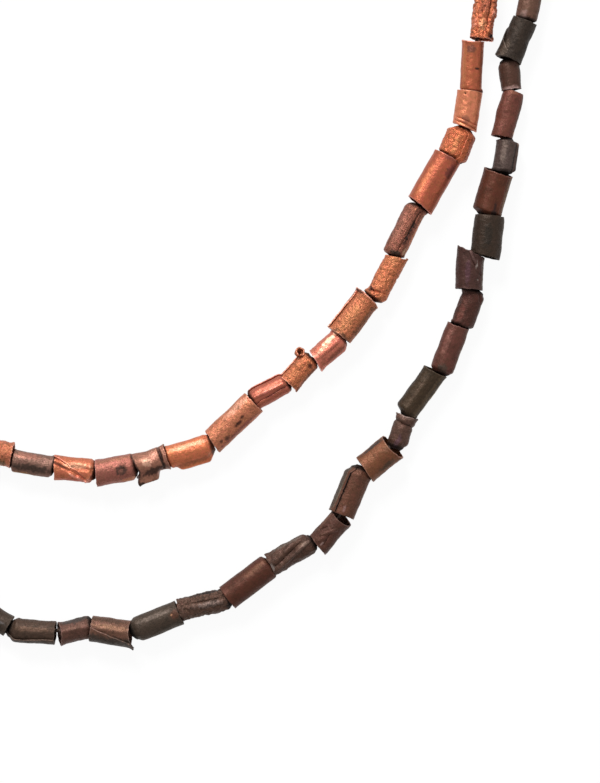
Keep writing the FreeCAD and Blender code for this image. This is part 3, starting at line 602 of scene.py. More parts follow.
def bead_axis(points, middle, direction):
    """Find a bead's axis from its points, with circles fitted to the nearest third of them,
    which is the bore. Returns the bead's middle, length and radius."""
    left = UP.cross(direction)
    across = [((p - middle).dot(left), (p - middle).dot(UP)) for p in points]
    u, v = (span([spot[axis] for spot in across])[0] for axis in (0, 1))
    for _ in range(5):
        bore = sorted(across, key=lambda spot: math.hypot(spot[0] - u, spot[1] - v))
        rows = Matrix(((0, 0, 0), (0, 0, 0), (0, 0, 0)))
        total = Vector((0, 0, 0))
        for x, y in bore[:len(bore) // 3]:
            row = (x / MM, y / MM, 1.0)
            for line in range(3):
                for column in range(3):
                    rows[line][column] += row[line] * row[column]
                total[line] += row[line] * (row[0] ** 2 + row[1] ** 2)
        answer = rows.inverted() @ total
        u, v = answer[0] / 2 * MM, answer[1] / 2 * MM
    middle = middle + left * u + UP * v
    centre, length = span([(p - middle).dot(direction) for p in points])
    radius = min(math.hypot(x - u, y - v) for x, y in across) + SHEET
    return middle + direction * centre, length, radius


def solid_place(node, points):
    """Place of an unnamed bead, from the points of its two ends."""
    middle = sum(points, Vector()) / len(points)
    offs = [p - middle for p in points]
    xx, yy, xy = (sum(off[i] * off[j] for off in offs) for i, j in ((0, 0), (1, 1), (0, 1)))
    angle = 0.5 * math.atan2(2 * xy, xx - yy)
    guess = Vector((math.cos(angle), math.sin(angle), 0))
    far = [p for p in points if (p - middle).dot(guess) > 0]
    near = [p for p in points if (p - middle).dot(guess) <= 0]
    direction = sum(far, Vector()) / len(far) - sum(near, Vector()) / len(near)
    direction.z = 0
    direction.normalize()
    return Place(node, *bead_axis(points, middle, direction), direction)


def solids_of(node):
    """The points of each solid of a CAD node."""
    bm = bmesh.new()
    bm.from_mesh(frame["nodes"][node].data)
    bmesh.ops.remove_doubles(bm, verts=bm.verts, dist=1e-6)
    seen = set()
    solids = []
    for vertex in bm.verts:
        if vertex in seen:
            continue
        points = []
        queue = [vertex]
        seen.add(vertex)
        while queue:
            current = queue.pop()
            points.append(current.co.copy())
            for edge in current.link_edges:
                other = edge.other_vert(current)
                if other not in seen:
                    seen.add(other)
                    queue.append(other)
        solids.append(points)
    bm.free()
    return solids


def named_place(node):
    """Place of a bead that spins on its own joint."""
    joint = next(j for j in frame["joints"] if j["child"] == node)
    direction = Vector(joint["axis"]).normalized()
    middle = Vector(joint["pos_m"])
    offs = [vertex.co - middle for vertex in frame["nodes"][node].data.vertices]
    length = span([off.dot(direction) for off in offs])[1]
    radius = min((off - direction * off.dot(direction)).length for off in offs) + SHEET
    return Place(node, middle, length, radius, direction)


def chained(places, spot):
    """Put places in the order in which the cord meets them, beginning at a spot."""
    waiting = list(places)
    order = []
    while waiting:
        nearest = min(waiting, key=lambda place: min((place.end(which) - spot).length
                                                     for which in (0, 1)))
        waiting.remove(nearest)
        if (nearest.end(0) - spot).length > (nearest.end(1) - spot).length:
            nearest.direction = -nearest.direction
        order.append(nearest)
        spot = nearest.end(1)
    return order


def strand_places(strand, count):
    """Every bead of a strand from the clasp's left side round to its right side. Returns them
    with the number of beads that come before the first named one."""
    named = [named_place(f"{strand}_bead_{number:02d}") for number in range(1, count + 1)]
    left, right = (chained([solid_place(node, points) for node in sorted(frame["nodes"])
                            if node.startswith(f"{strand}_{side}_beads")
                            for points in solids_of(node)], spot)
                   for side, spot in (("left", named[0].end(0)), ("right", named[-1].end(1))))
    for place in left:
        place.direction = -place.direction
    return left[::-1] + named + right, len(left)


def tucked_end(bead, bead_look, end, other, around, aside, turn):
    """Sizes of a bead's end that goes into the mouth of the next one. around is that one's
    look, aside how far its axis lies off this end, and turn the sine of the bend between."""
    wide = other.radius / MM * around.wide
    own = bead.radius / MM * bead_look.wide
    off_centre = abs(around.shift[1 - end])
    mouth = wide * (1 + around.taper * (0.5 - end)) + min(around.flare[1 - end], 0)
    throat = min(mouth - WALL - PLAY - 0.6 * off_centre, own) * bead_look.tip[end]
    mouth -= 2 * WALL + PLAY + off_centre + aside
    mouth -= 0.8 * around.dents + 0.5 * (around.beat + around.wrinkle)
    tip = min(max(mouth, THIN_TIP), throat)
    past = TUCK_DEPTH + 0.4 * tip * turn
    swing = SNUG * ((wide + off_centre + aside) * turn + around.ragged)
    return {"past": past, "tip": tip, "throat": throat, "depth": past + swing,
            "neck": min(NECK + 0.5 * own * turn, 0.14 * bead.length / MM)}


def meet(places, looks):
    """How each end of each bead meets its neighbour: how far the sheet runs past the CAD
    bead's end, and the tip, depth and neck of an end that goes into the neighbour's mouth."""
    ends = [[{"reach": 0.0, "tip": None}, {"reach": 0.0, "tip": None}] for _ in places]
    for index in range(len(places) - 1):
        here, there = places[index], places[index + 1]
        apart = (there.end(0) - here.end(1)) / MM
        along = (here.direction + there.direction).normalized()
        half_gap = max(apart.dot(along), 0) / 2
        aside = apart.cross(along).length
        turn = math.sin(here.direction.angle(there.direction))
        tucks = (looks[index].tuck[1], looks[index + 1].tuck[0])
        for is_tucked, number, end in zip(tucks, (index, index + 1), (1, 0)):
            neighbour = 2 * index + 1 - number
            bead, bead_look = places[number], looks[number]
            if is_tucked:
                sizes = tucked_end(bead, bead_look, end, places[neighbour], looks[neighbour],
                                   aside, turn)
                ends[number][end] = {**sizes, "reach": half_gap + sizes["past"]}
            elif any(tucks):
                ends[number][end]["reach"] = half_gap - MOUTH_GAP
            else:
                lean = bead.radius / MM * bead_look.wide * turn / 2
                ends[number][end]["reach"] = half_gap - max(BUTT_GAP, SNUG_LEAN * lean)
    return ends


def back_look(index, looks, mixer):
    """The look of a bead that isn't named: one of the named ones' in a plainer form."""
    named = mixer.choice(looks)
    tucked = bool(index % 2)
    return replace(named, seam=mixer.uniform(-180, 180), tuck=(tucked, tucked), slant=(0.0, 0.0),
                   shift=(0.0, 0.0), longer=(0.0, 0.0), ears=(), curls=(), squash=0.96,
                   open=min(named.open, 0.4))


def add_beads(strand, looks, material):
    """Roll every bead of a strand. The named ones ride on bodies of their own, and the others
    take the looks of the named ones in mixed order."""
    places, before = strand_places(strand, len(looks))
    mixer = random.Random(len(strand) * 101)
    chosen = [looks[index - before] if 0 <= index - before < len(looks)
              else back_look(index, looks, mixer) for index in range(len(places))]
    ends = meet(places, chosen)
    for node in dict.fromkeys(place.node for place in places):
        is_named = "_bead_" in node
        bm = bmesh.new()
        layers = [bm.verts.layers.float_color.new(name) for name in ("tint", "stain", "relief")]
        layers.append(bm.verts.layers.float_vector.new("roll"))
        for index, place in enumerate(places):
            if place.node != node:
                continue
            radius = place.radius / MM * chosen[index].wide
            sheet = RolledSheet(chosen[index], radius, place.length / MM, ends[index],
                                index + 100 * len(strand))
            spot = bead_frame(place.end(0), place.direction)
            verts = roll_sheet(bm, layers, spot, sheet, *(NAMED_GRID if is_named else BACK_GRID))
            face_outwards(verts, place.middle, place.direction)
            for curl in sheet.look.curls:
                add_curl(bm, layers, spot, sheet, curl)
        piece = add_piece("rolled_" + node, bm, material, node if is_named else ROOT, node)
        wall = piece.modifiers.new("wall", "SOLIDIFY")
        wall.thickness = WALL * MM
        wall.offset = -1
    return places


# Which ends of a bead go into their neighbours' mouths.
IN = (True, True)
NEAR_IN = (True, False)
FAR_IN = (False, True)

# The named beads of both strands in order, from the middle of the front round to the right.
# Most inner beads carry painted light in their patches: lighter patches at positive angles, on the
# side facing the upper-left softbox, are painted highlights, and the long darker patches at about
# -50 to -70 degrees on the other side are painted shade.
INNER_LOOKS = [
    Look("#bf7351", wide=1.1, shift=(0.25, 0.2), ragged=0.18, flare=(0, 0.15), rim=0.6,
         dents=0.2, beat=0.1, grain=1,
         paint=((-50, 0.75, 0.9, 1.2, "#7d5a3c"), (20, 0.45, 0.8, 1.2, "#cf8a66"))),
    Look("#7e5c4e", stain=0.5, seam=-64, skew=-24, wide=1.1, taper=-0.1, shift=(-0.4, -0.3),
         tuck=IN, rim=0.6, dents=0.16, open=0.5, open_width=0.7, open_to=0.6, streak=0.8,
         paint=((-72, 0.3, 1, 2.4, "#a57a55"), (45, 0.35, 0.9, 2.2, "#a06e5c"),
                (-20, 0.5, 0.8, 3.4, "#4e3b32"))),
    # Painted highlights: #e5a37e on the upper-left and the pinker #cf6f50 on the V ridge; #b05f46
    # low on the right is painted shade.
    Look("#c3714f", seam=4, skew=-128, wide=1.13, shift=(-0.1, -0.2), tuck=FAR_IN,
         slant=(0.15, 0), slant_side=(90, 90), rim=0.6, dents=0.2, open=0.3,
         ridges=((35, 0.02, -25, 0.55, 0.24, -0.3), (-18, 0.4, -52, 0.78, 0.3, 0.36),
                 (-52, 0.78, -10, 0.97, 0.28, 0.3), (20, 0.45, 5, 0.9, 0.4, -0.24)),
         paint=((24, 0.55, 0.6, 2.4, "#e5a37e"), (-62, 0.5, 0.9, 3, "#b05f46"),
                (-30, 0.6, 0.4, 1, "#cf6f50"))),
    Look("#9c6050", wide=1.04, shift=(-0.15, -0.15), tuck=FAR_IN, slant=(0.2, 0), rim=0.8,
         pits=((-8, 0.66, 0.6, 0.14),),
         paint=((-8, 0.66, 1, 1, "#553d34"), (-10, 0.64, 0.5, 0.45, "#86594a"),
                (-68, 0.8, 0.8, 1.4, "#b0704c"), (50, 0.5, 0.5, 4, "#a36b55"))),
    # Painted highlights: #cd9c82 and #b27c68 on top. Painted shade: #4f342a low on the right,
    # #4a332a in the collar's groove and #4a3026 at the near rim's opening.
    Look("#9c6b56", stain=0.45, seam=-95, slant=(0.55, 0), slant_side=(75, 90),
         flare=(0.3, 0.25), rim=0.35, dents=0.34, open=1.5, open_width=2.2, open_from=-0.1,
         open_to=0.62, ridges=((90, 0.84, -60, 0.84, 0.2, -0.28), (20, 0.45, -10, 0.5, 0.6, 0.16)),
         ears=((0, -84, 1.3, 1.2, 0.12),),
         paint=((0, 0.35, 0.9, 0.9, "#cd9c82"), (25, 0.62, 0.9, 0.6, "#b27c68"),
                (-50, 0.55, 0.8, 2.4, "#4f342a"), (0, 0.84, 3, 0.35, "#4a332a"),
                (0, 0, 4, 0.22, "#4a3026"), (-95, 0, 0.7, 1.1, "#3a261e"))),
    Look("#d0784f", seam=-90, skew=-14, wide=1.1, shift=(-0.15, -0.2), tuck=IN, dents=0.12,
         beat=0.03, open=2.2, open_width=1.35, open_from=0.2, open_to=0.9,
         pits=((15, 0.55, 0.2, 0.1), (-20, 0.42, 0.16, 0.1)),
         paint=((30, 0.5, 0.6, 3, "#e09c78"), (-66, 0.5, 0.5, 3.6, "#b06a48"))),
    Look("#bd7654", wide=1.06, shift=(0, -0.1), longer=(0.1, 0), slant=(0.4, 0),
         ragged=0.14, rim=0.6, dents=0.12, grain=0.7,
         pits=((-28, 0.35, 0.3, 0.12), (-20, 0.55, 0.2, 0.1), (-38, 0.2, 0.3, 0.14)),
         paint=((-24, 0.56, 0.35, 0.8, "#4f2c20"), (-14, 0.68, 0.25, 0.5, "#5a3427"),
                (-38, 0.26, 0.5, 0.5, "#6f4533"), (-30, 0.14, 0.3, 0.4, "#65402f"),
                (-58, 0.5, 0.5, 4.4, "#965743"), (42, 0.7, 0.9, 2.6, "#d89a7c"))),
    Look("#ab6049", seam=80, wide=1.06, shift=(0.1, 0.1), tuck=IN, rim=0.3, open=0.25,
         open_width=0.6, grain=0.15,
         ridges=((12, 0, -4, 1, 0.25, 0.16), (-28, 0.1, -20, 0.9, 0.22, -0.22)),
         paint=((-26, 0.6, 0.22, 2.4, "#6d3c30"), (8, 0.6, 0.2, 2.6, "#bf705a"))),
    Look("#c0724a", seam=86, tuck=FAR_IN, beat=0.09, beat_size=0.45, grain=1,
         pits=((10, 0.45, 0.2, 0.12), (0, 0.55, 0.15, 0.1), (20, 0.35, 0.15, 0.1),
               (-30, 0.75, 0.35, 0.16)),
         ears=((1, 66, 0.7, 0.15, 0.36), (0, -72, 0.3, 0.22, 0.15)), curls=((68, 0.93, 0.82, 35),),
         paint=((-25, 0.8, 0.6, 0.45, "#6d402b"), (-70, 0.5, 0.5, 3, "#8f573e"),
                (8, 0.45, 0.35, 0.6, "#87502f"), (22, 0.3, 0.2, 0.3, "#87502f"),
                (40, 0.75, 0.8, 1, "#d08058"), (10, 0.3, 0.8, 1.2, "#c67a50"))),
    # fad2ae and #eeb090 on the upper-left are painted highlights, and #9a5844 low on the right is
    # painted shade.
    Look("#c4725a", wide=1.04, shift=(-0.3, -0.3), tuck=FAR_IN, slant=(0.35, 0),
         flare=(0.08, 0), dents=0.16, beat=0.06, ridges=((0, 0.1, -5, 0.9, 0.3, 0.1),),
         ears=((0, -80, 0.8, 0.1, 0.1), (1, -85, 0.5, -0.2, 0.3)),
         paint=((35, 0.7, 0.5, 1.6, "#fad2ae"), (18, 0.35, 0.35, 1.8, "#eeb090"),
                (-50, 0.6, 0.6, 2.6, "#9a5844"), (-12, 0.55, 0.16, 1.6, "#96543f"))),
    Look("#be734d", seam=72, shift=(0.3, 0.3), slant=(0, 0.35), slant_side=(-90, 60),
         ragged=0.14, flare=(0, 0.2), beat=0.06, beat_size=0.4, open=0.5, open_width=0.9,
         open_to=0.6, grain=1, ears=((0, 80, 0.8, 0, 0.25),),
         paint=((-60, 0.5, 0.9, 4.6, "#905a3c"), (0, 0.04, 2, 0.5, "#7d5038"),
                (10, 0.4, 1, 3.4, "#cd8458"), (60, 0.97, 1.6, 0.3, "#6a3d2a"))),
    Look("#c5764e", wide=1.06, shift=(-0.4, -0.45), tuck=NEAR_IN, longer=(0, 0.35),
         slant=(0.2, 0.35), slant_side=(-90, -90), rim=0.35, dents=0.1, beat=0.05, wrinkle=0.1,
         wrinkle_size=0.6, grain=1, ridges=((50, 0.12, -40, 0.2, 0.2, -0.24),),
         ears=((1, -82, 0.6, 0.4, 0.1),),
         paint=((45, 0.14, 0.7, 0.5, "#5c3224"), (0, 0.92, 0.9, 1.2, "#cd8358"))),
    Look("#8c5643", stain=0.45, shift=(0.35, 0.3), tuck=IN, tip=(0.92, 1), slant=(0.2, 0),
         slant_side=(90, 90), ragged=0.16, rim=0.6, grain=1, streak=1,
         ridges=((-14, 0.1, -36, 0.95, 0.2, -0.24), (-26, 0.2, -20, 0.5, 0.12, 0.12)),
         paint=((-28, 0.55, 0.35, 2.8, "#2f1e18"), (-68, 0.5, 0.5, 4.4, "#bd7550"),
                (-5, 0.05, 1.2, 0.5, "#4b372b"), (5, 0.92, 0.4, 1, "#a8694f"),
                (-50, 0.12, 0.3, 0.6, "#c59a78"), (35, 0.5, 0.7, 3, "#9d6551"))),
    Look("#aa5b3e", wide=1.06, shift=(0.15, 0.2), slant=(0.4, 0), rim=0.8, dents=0.08,
         beat=0.02, grain=0.2, pits=((30, 0.55, 0.2, 0.12),),
         paint=((-42, 0.78, 0.8, 1.8, "#7d4235"), (-10, 0.97, 1, 0.5, "#94503f"),
                (34, 0.4, 0.6, 3.4, "#cb7650"))),
    Look("#c56e46", seam=-26, hand=-1, wide=1.16, tuck=IN, slant=(0.1, 0), ragged=0.2,
         rim=0.3, beat=0.1, beat_size=0.45, open=0.35, open_width=0.6, grain=1,
         ears=((0, -40, 0.6, 0.3, 0.2),),
         paint=((-64, 0.5, 0.7, 3, "#b96a4e"), (5, 0.4, 0.5, 1.4, "#d28254"))),
    Look("#ce7f5a", wide=1.08, shift=(0.15, 0), longer=(0.1, 0), slant=(0.6, 0),
         slant_side=(-70, 90), rim=0.6, dents=0.1, grain=0.1, streak=1,
         ridges=((60, 0.1, -60, 0.06, 0.14, -0.26), (50, 0.2, -60, 0.16, 0.12, -0.2),
                 (50, 0.15, -60, 0.11, 0.1, 0.14)), pits=((22, 0.9, 0.2, 0.14),),
         paint=((22, 0.9, 0.28, 0.24, "#3a2018"), (0, 0.2, 0.9, 0.7, "#a3644a"))),
    Look("#ad5f3f", wide=1.04, shift=(0.3, 0.35), tuck=NEAR_IN, slant=(0, 0.25),
         slant_side=(-90, 165), flare=(0, 0.1), dents=0.08, beat=0.03, grain=0.1,
         paint=((-28, 0.46, 0.45, 0.2, "#2e1812"), (10, 0.84, 0.8, 0.8, "#7d4c3a"),
                (45, 0.5, 0.5, 5, "#bd744c"), (-66, 0.5, 0.4, 5, "#a05a3c"))),
    Look("#c5704a", stain=0.45, shift=(-0.4, -0.4), rim=0.6, dents=0.3, beat=0.16,
         beat_size=0.5, wrinkle=0.16, wrinkle_size=0.8, grain=1,
         ridges=((-40, 0.15, -48, 0.9, 0.2, 0.2), (-20, 0.2, -30, 0.9, 0.18, -0.2)),
         paint=((0, 0.75, 0.9, 1.6, "#a25c40"), (-50, 0.06, 0.5, 0.4, "#2e1610"),
                (65, 0.5, 0.6, 4, "#bd6f4b"), (-22, 0.5, 0.2, 3, "#6e3420"),
                (5, 0.3, 0.6, 1.2, "#dc9468"), (25, 0.62, 0.3, 0.5, "#8a4a32"))),
]
# Lighter grey and brown patches on the side facing the upper-left softbox are painted sheen and
# highlights, and the tan bands along the lower edge, at about -70 to -84 degrees, are painted warm
# light reflected from below.
OUTER_LOOKS = [
    Look("#473a30", wide=0.97, bulge=0.08, shift=(-0.1, -0.1),
         paint=((0, 0.7, 0.3, 1.6, "#6a625f"), (-80, 0.5, 0.4, 3, "#5c4a36"))),
    Look("#4a382c", seam=-40, hand=-1, skew=-20, wide=1.03, shift=(-0.3, -0.3), tuck=NEAR_IN,
         slant=(0.3, 0), rim=0.9, open=0.3, ears=((0, -75, 0.5, 0.1, 0.08),),
         paint=((15, 0.5, 0.5, 2.8, "#644c3c"), (-60, 0.5, 0.5, 4, "#3c3128"),
                (-84, 0.5, 0.3, 4, "#7a6440"))),
    Look("#5c3e32", shift=(-0.1, -0.1), tuck=FAR_IN, longer=(0.3, 0), slant=(0.55, 0),
         slant_side=(-155, 90), flare=(0.12, 0), beat=0.06,
         ridges=((10, 0.1, 0, 0.9, 0.35, 0.16),),
         paint=((65, 0.5, 0.9, 2.6, "#463c37"), (15, 0.5, 0.3, 2.4, "#6c4c3e"))),
    Look("#6d4c3c", seam=-14, hand=-1, skew=44, wide=1.03, shift=(-0.25, -0.35),
         slant=(0, 0.3), slant_side=(-90, -140), flare=(0, 0.1), rim=0.9, open=0.45,
         ridges=((8, 0.2, 8, 0.8, 0.3, 0.08),), ears=((1, -70, 1.3, 0.9, 0.35),),
         paint=((-52, 0.5, 1.4, 7, "#43372f"), (22, 0.6, 0.5, 3.6, "#8c664f"),
                (60, 0.4, 0.6, 3, "#5c4335"))),
    # 64564c on the upper-left is painted sheen.
    Look("#46392e", wide=1.1, shift=(-0.1, -0.1), tuck=NEAR_IN, longer=(0, 0.1), rim=0.6,
         dents=0.1, beat=0.03, streak=0.8,
         paint=((30, 0.55, 0.45, 2.6, "#64564c"), (0, 0.92, 0.9, 0.8, "#5c3d2e"),
                (5, 0.86, 0.15, 0.15, "#c8906c"), (-80, 0.5, 0.4, 3, "#66533a"))),
    Look("#5a4134", stain=0.4, wide=1.05, tuck=FAR_IN, ragged=0.2, rim=0.6, beat=0.1,
         beat_size=0.45, wrinkle=0.16, wrinkle_size=0.8, grain=1,
         ridges=((5, 0.3, -8, 0.9, 0.25, 0.2), (60, 0.1, 50, 0.9, 0.2, 0.14),
                 (25, 0.2, 15, 0.8, 0.2, -0.2)),
         paint=((-5, 0.6, 0.5, 1.8, "#6f5a50"), (70, 0.6, 0.5, 3.4, "#2f231d"),
                (-60, 0.5, 0.4, 4, "#5d4638"))),
    Look("#542f20", wide=1.1, tuck=FAR_IN, rim=0.6, dents=0.06, beat=0.02, grain=0.25,
         paint=((30, 0.75, 0.6, 2.4, "#65422f"),)),
    Look("#50372b", stain=0.45, wide=1.04, taper=-0.06, shift=(0.3, 0.1), tuck=FAR_IN,
         ragged=0.2, dents=0.22, beat=0.08, wrinkle=0.08, wrinkle_size=1.3,
         ridges=((-40, 0.1, 12, 0.9, 0.22, 0.34), (-20, 0.1, 30, 0.75, 0.3, -0.24),
                 (20, 0.4, 40, 0.6, 0.3, 0.16)),
         paint=((-15, 0.03, 0.8, 0.2, "#82756e"), (10, 0.8, 0.3, 0.9, "#6b5344"),
                (60, 0.5, 0.4, 3, "#65564c"))),
    Look("#543529", wide=1.03, shift=(-0.45, -0.4), longer=(0.15, 0.2), slant=(0.35, 0.6),
         slant_side=(-90, 175), dents=0.22, beat=0.06, grain=0.3,
         ridges=((20, 0.3, -20, 0.75, 0.18, 0.2), (-25, 0.15, -10, 0.5, 0.25, -0.2),
                 (50, 0.35, 25, 0.6, 0.18, -0.18), (15, 0.1, 0, 0.3, 0.3, 0.2)),
         paint=((60, 0.7, 0.5, 2, "#6b4a3a"), (-10, 0.16, 0.16, 0.5, "#8a7068"))),
    Look("#623e2d", seam=36, wide=1.12, shift=(0.35, 0.3), tuck=FAR_IN, longer=(0.35, 0.2),
         rim=0.6, dents=0.1, beat=0.05, open=0.35, open_width=0.8, open_to=0.86, grain=0.4,
         paint=((66, 0.5, 0.7, 4.6, "#4c4137"), (34, 0.5, 0.13, 3.6, "#1c1310"),
                (50, 0.5, 0.15, 3, "#6f6456"), (0, 0.12, 0.3, 0.5, "#84635c"))),
    Look("#75492f", wide=1.06, shift=(0.15, 0.1), longer=(0, 0.3), slant=(0.2, 0.55),
         slant_side=(-90, -165), grain=0.3,
         paint=((64, 0.6, 0.5, 2.6, "#3f3029"), (-45, 0.6, 0.6, 1.5, "#5c4330"),
                (10, 0.9, 0.6, 0.5, "#7d543c"))),
    Look("#5a4034", bulge=0.06, shift=(-0.2, -0.2), tuck=NEAR_IN, tip=(0.85, 1), ragged=0.2,
         flare=(0, 0.3), beat=0.08,
         ridges=((90, 0.8, -90, 0.72, 0.2, -0.24), (60, 0.9, 0, 0.86, 0.2, 0.2)),
         paint=((0, 0.97, 1.4, 0.3, "#84685c"), (0, 0.2, 0.5, 1, "#64474a"))),
    Look("#3d2e1e", shift=(0.4, 0.4), tuck=NEAR_IN, longer=(0, 0.2), slant=(0, 0.4),
         slant_side=(-90, -130), flare=(0, 0.1), dents=0.1, grain=0.3, streak=0.8,
         paint=((-82, 0.5, 0.4, 5, "#7c6238"), (15, 0.5, 0.3, 3, "#4e3d2e"),
                (-45, 0.5, 0.5, 5, "#54432f"), (75, 0.5, 0.4, 5, "#352a20"))),
    # 744a3e on the upper-left is a painted highlight.
    Look("#5f382c", wide=1.06, bulge=0.06, tuck=NEAR_IN, slant=(0, 0.2),
         slant_side=(-90, 180), dents=0.12, grain=0.3,
         paint=((30, 0.65, 0.6, 2.2, "#744a3e"), (-78, 0.5, 0.4, 3.6, "#755838"),
                (0, 0.12, 0.9, 0.8, "#4f3d32"))),
    Look("#4a2a20", wide=1.06, shift=(-0.35, -0.35), tuck=IN, ragged=0.2, rim=0.8,
         wrinkle=0.05, ridges=((-50, 0.75, -30, 1, 0.2, -0.2),), ears=((1, -75, 0.8, 0.1, 0.1),),
         paint=((30, 0.3, 0.6, 2, "#63392e"), (-80, 0.6, 0.4, 2.4, "#5e4a36"))),
    Look("#492f28", wide=1.02, shift=(0.2, 0.2), longer=(0, 1), slant=(0, 0.9),
         slant_side=(-90, 95), beat=0.06, grain=0.3,
         ridges=((5, 0.98, -40, 0.5, 0.16, 0.32), (-10, 0.75, -50, 0.45, 0.2, -0.2)),
         pits=((-38, 0.28, 0.28, 0.14),),
         paint=((-24, 0.7, 0.08, 0.9, "#8f7f78"), (-38, 0.28, 0.22, 0.2, "#95877e"),
                (10, 0.45, 0.5, 2, "#533539"), (-70, 0.5, 0.4, 3, "#584430"))),
    Look("#382a1f", wide=1.02, squash=0.85, bulge=0.05, longer=(0.95, 0), slant=(0.35, 0),
         flare=(0, -0.12), rim=0.6, beat=0.05, grain=0.4,
         paint=((-82, 0.5, 0.35, 4.4, "#5c4b30"), (0, 0.5, 0.8, 2, "#2e251d"))),
    Look("#572e1c", seam=-42, wide=1.16, shift=(0.25, 0.2), tuck=NEAR_IN, longer=(0, 0.4),
         slant=(0, 0.5), slant_side=(-90, 165), flare=(0, 0.08), dents=0.06, open=0.14,
         grain=0.2,
         paint=((-66, 0.5, 0.6, 5, "#6e4e34"), (-20, 0.08, 0.5, 0.8, "#241410"),
                (-20, 0.2, 0.25, 1.2, "#38201a"))),
    Look("#50403a", seam=-36, wide=1.2, shift=(-0.3, -0.3), tuck=IN, tip=(0.88, 1), rim=0.9,
         dents=0.12, open=0.45, open_width=0.7, grain=0.4,
         ridges=((-36, 0, -36, 1, 0.22, -0.26), (-58, 0, -58, 1, 0.3, 0.2)),
         paint=((-38, 0.5, 0.18, 3.4, "#1e1512"), (20, 0.6, 0.6, 1.8, "#6f5e55"),
                (-58, 0.85, 0.3, 0.4, "#8f7568"), (-58, 0.6, 0.2, 0.2, "#8f7568"))),
    Look("#6d3f31", wide=1.02, bulge=0.07, shift=(0.3, 0.25), slant=(0.15, 0.1),
         slant_side=(90, 90), flare=(0, -0.15), rim=0.6, grain=0.3,
         paint=((-72, 0.12, 0.22, 0.3, "#d09a74"), (-68, 0.26, 0.15, 0.2, "#b07a5c"),
                (-76, 0.4, 0.12, 0.2, "#a87258"), (0, 0.97, 1.2, 0.3, "#80503c"),
                (-70, 0.6, 0.3, 3, "#5a3a2c"))),
    Look("#4f3428", bulge=0.14, shift=(0.2, 0.2), tuck=FAR_IN, flare=(0.12, 0), grain=0.3,
         paint=((0, 0.04, 1.6, 0.25, "#8f7068"), (-70, 0.5, 0.4, 2, "#47382c"))),
    Look("#352a21", seam=78, skew=172, shift=(0.1, 0.1), slant=(0, 0.2),
         slant_side=(-90, 180), open=0.35, open_width=0.8, open_to=0.5, grain=0.6,
         ears=((0, 62, 0.9, 0.25, 0.2),), paint=((38, 0.2, 0.8, 1.6, "#4f4136"),)),
    Look("#664839", tuck=NEAR_IN, rim=0.6, dents=0.1, streak=0.9,
         paint=((20, 0.1, 0.8, 0.8, "#7d6258"),)),
]


# ---------------------------------------------------------------- cords and clasp
CORD_WIDTH = 0.7 * MM
CORD_LEAD = 3.5 * MM      # straight run of a cord at a socket and at the last bead
CORD_SIDES = 15
CORD_PLIES = 3
CORD_TWIST = 2.8 * MM     # length in which a ply goes once round
PLY_GROOVE = 0.28         # depth of the grooves between the plies next to the cord's radius
ROUTE_STEPS = 24          # points of the drawn line between two beads


def socket_points(node, cord_end, outward):
    """Where a cord lies in its socket: at the bottom, at the mouth and just outside it."""
    low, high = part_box(cord_end)
    inside = [vertex.co for vertex in frame["nodes"][node].data.vertices
              if low.x < vertex.co.x < high.x and vertex.co.y > low.y]
    middle = sum(inside, Vector()) / len(inside)
    bottom = max(spot.x * -outward for spot in inside) * -outward
    mouth = low.x if outward < 0 else high.x
    return [Vector((x, middle.y, middle.z)) for x in (bottom, mouth, mouth + outward * CORD_LEAD)]


def cord_line(node, places):
    """The cord's smooth line from one socket through every bead to the other."""
    first, last = places[0], places[-1]
    route = socket_points(node, "left_cord_end", -1)
    route += [first.end(0) - first.direction * CORD_LEAD, first.end(0)]
    route += [(here.end(1) + there.end(0)) / 2 for here, there in zip(places, places[1:])]
    route += [last.end(1), last.end(1) + last.direction * CORD_LEAD]
    route += socket_points(node, "right_cord_end", 1)[::-1]
    curve = bpy.data.curves.new("route", "CURVE")
    curve.dimensions = "3D"
    curve.resolution_u = ROUTE_STEPS
    spline = curve.splines.new("NURBS")
    spline.points.add(len(route) - 1)
    for point, spot in zip(spline.points, route):
        point.co = (*spot, 1.0)
    spline.order_u = 3
    spline.use_endpoint_u = True
    holder = bpy.data.objects.new("route", curve)
    mesh = bpy.data.meshes.new_from_object(holder)
    line = [vertex.co.copy() for vertex in mesh.vertices]
    bpy.data.objects.remove(holder)
    bpy.data.curves.remove(curve)
    bpy.data.meshes.remove(mesh)
    return line


def add_twisted_cord(node, places):
    """A cord of three twisted plies, rolled up from a flat grid along its line."""
    line = cord_line(node, places)
    last = len(line) - 1
    run = [0.0]
    for here, there in zip(line, line[1:]):
        run.append(run[-1] + (there - here).length)
    bm = bmesh.new()
    grid = bmesh.ops.create_grid(bm, x_segments=last, y_segments=CORD_SIDES, size=0.5)
    for vertex in grid["verts"]:
        index = round((vertex.co.x + 0.5) * last)
        angle = 2 * math.pi * vertex.co.y
        ahead = (line[min(index + 1, last)] - line[max(index - 1, 0)]).normalized()
        left = UP.cross(ahead).normalized()
        lobe = abs(math.cos(CORD_PLIES * (angle / 2 - math.pi * run[index] / CORD_TWIST)))
        out = left * math.cos(angle) + ahead.cross(left) * math.sin(angle)
        vertex.co = line[index] + out * CORD_WIDTH / 2 * (1 - PLY_GROOVE * (1 - lobe))
    bmesh.ops.remove_doubles(bm, verts=bm.verts, dist=1e-7)
    bmesh.ops.holes_fill(bm, edges=[edge for edge in bm.edges if edge.is_boundary])
    bmesh.ops.recalc_face_normals(bm, faces=bm.faces)
    add_piece("twisted_" + node, bm, LINEN, ROOT, node)


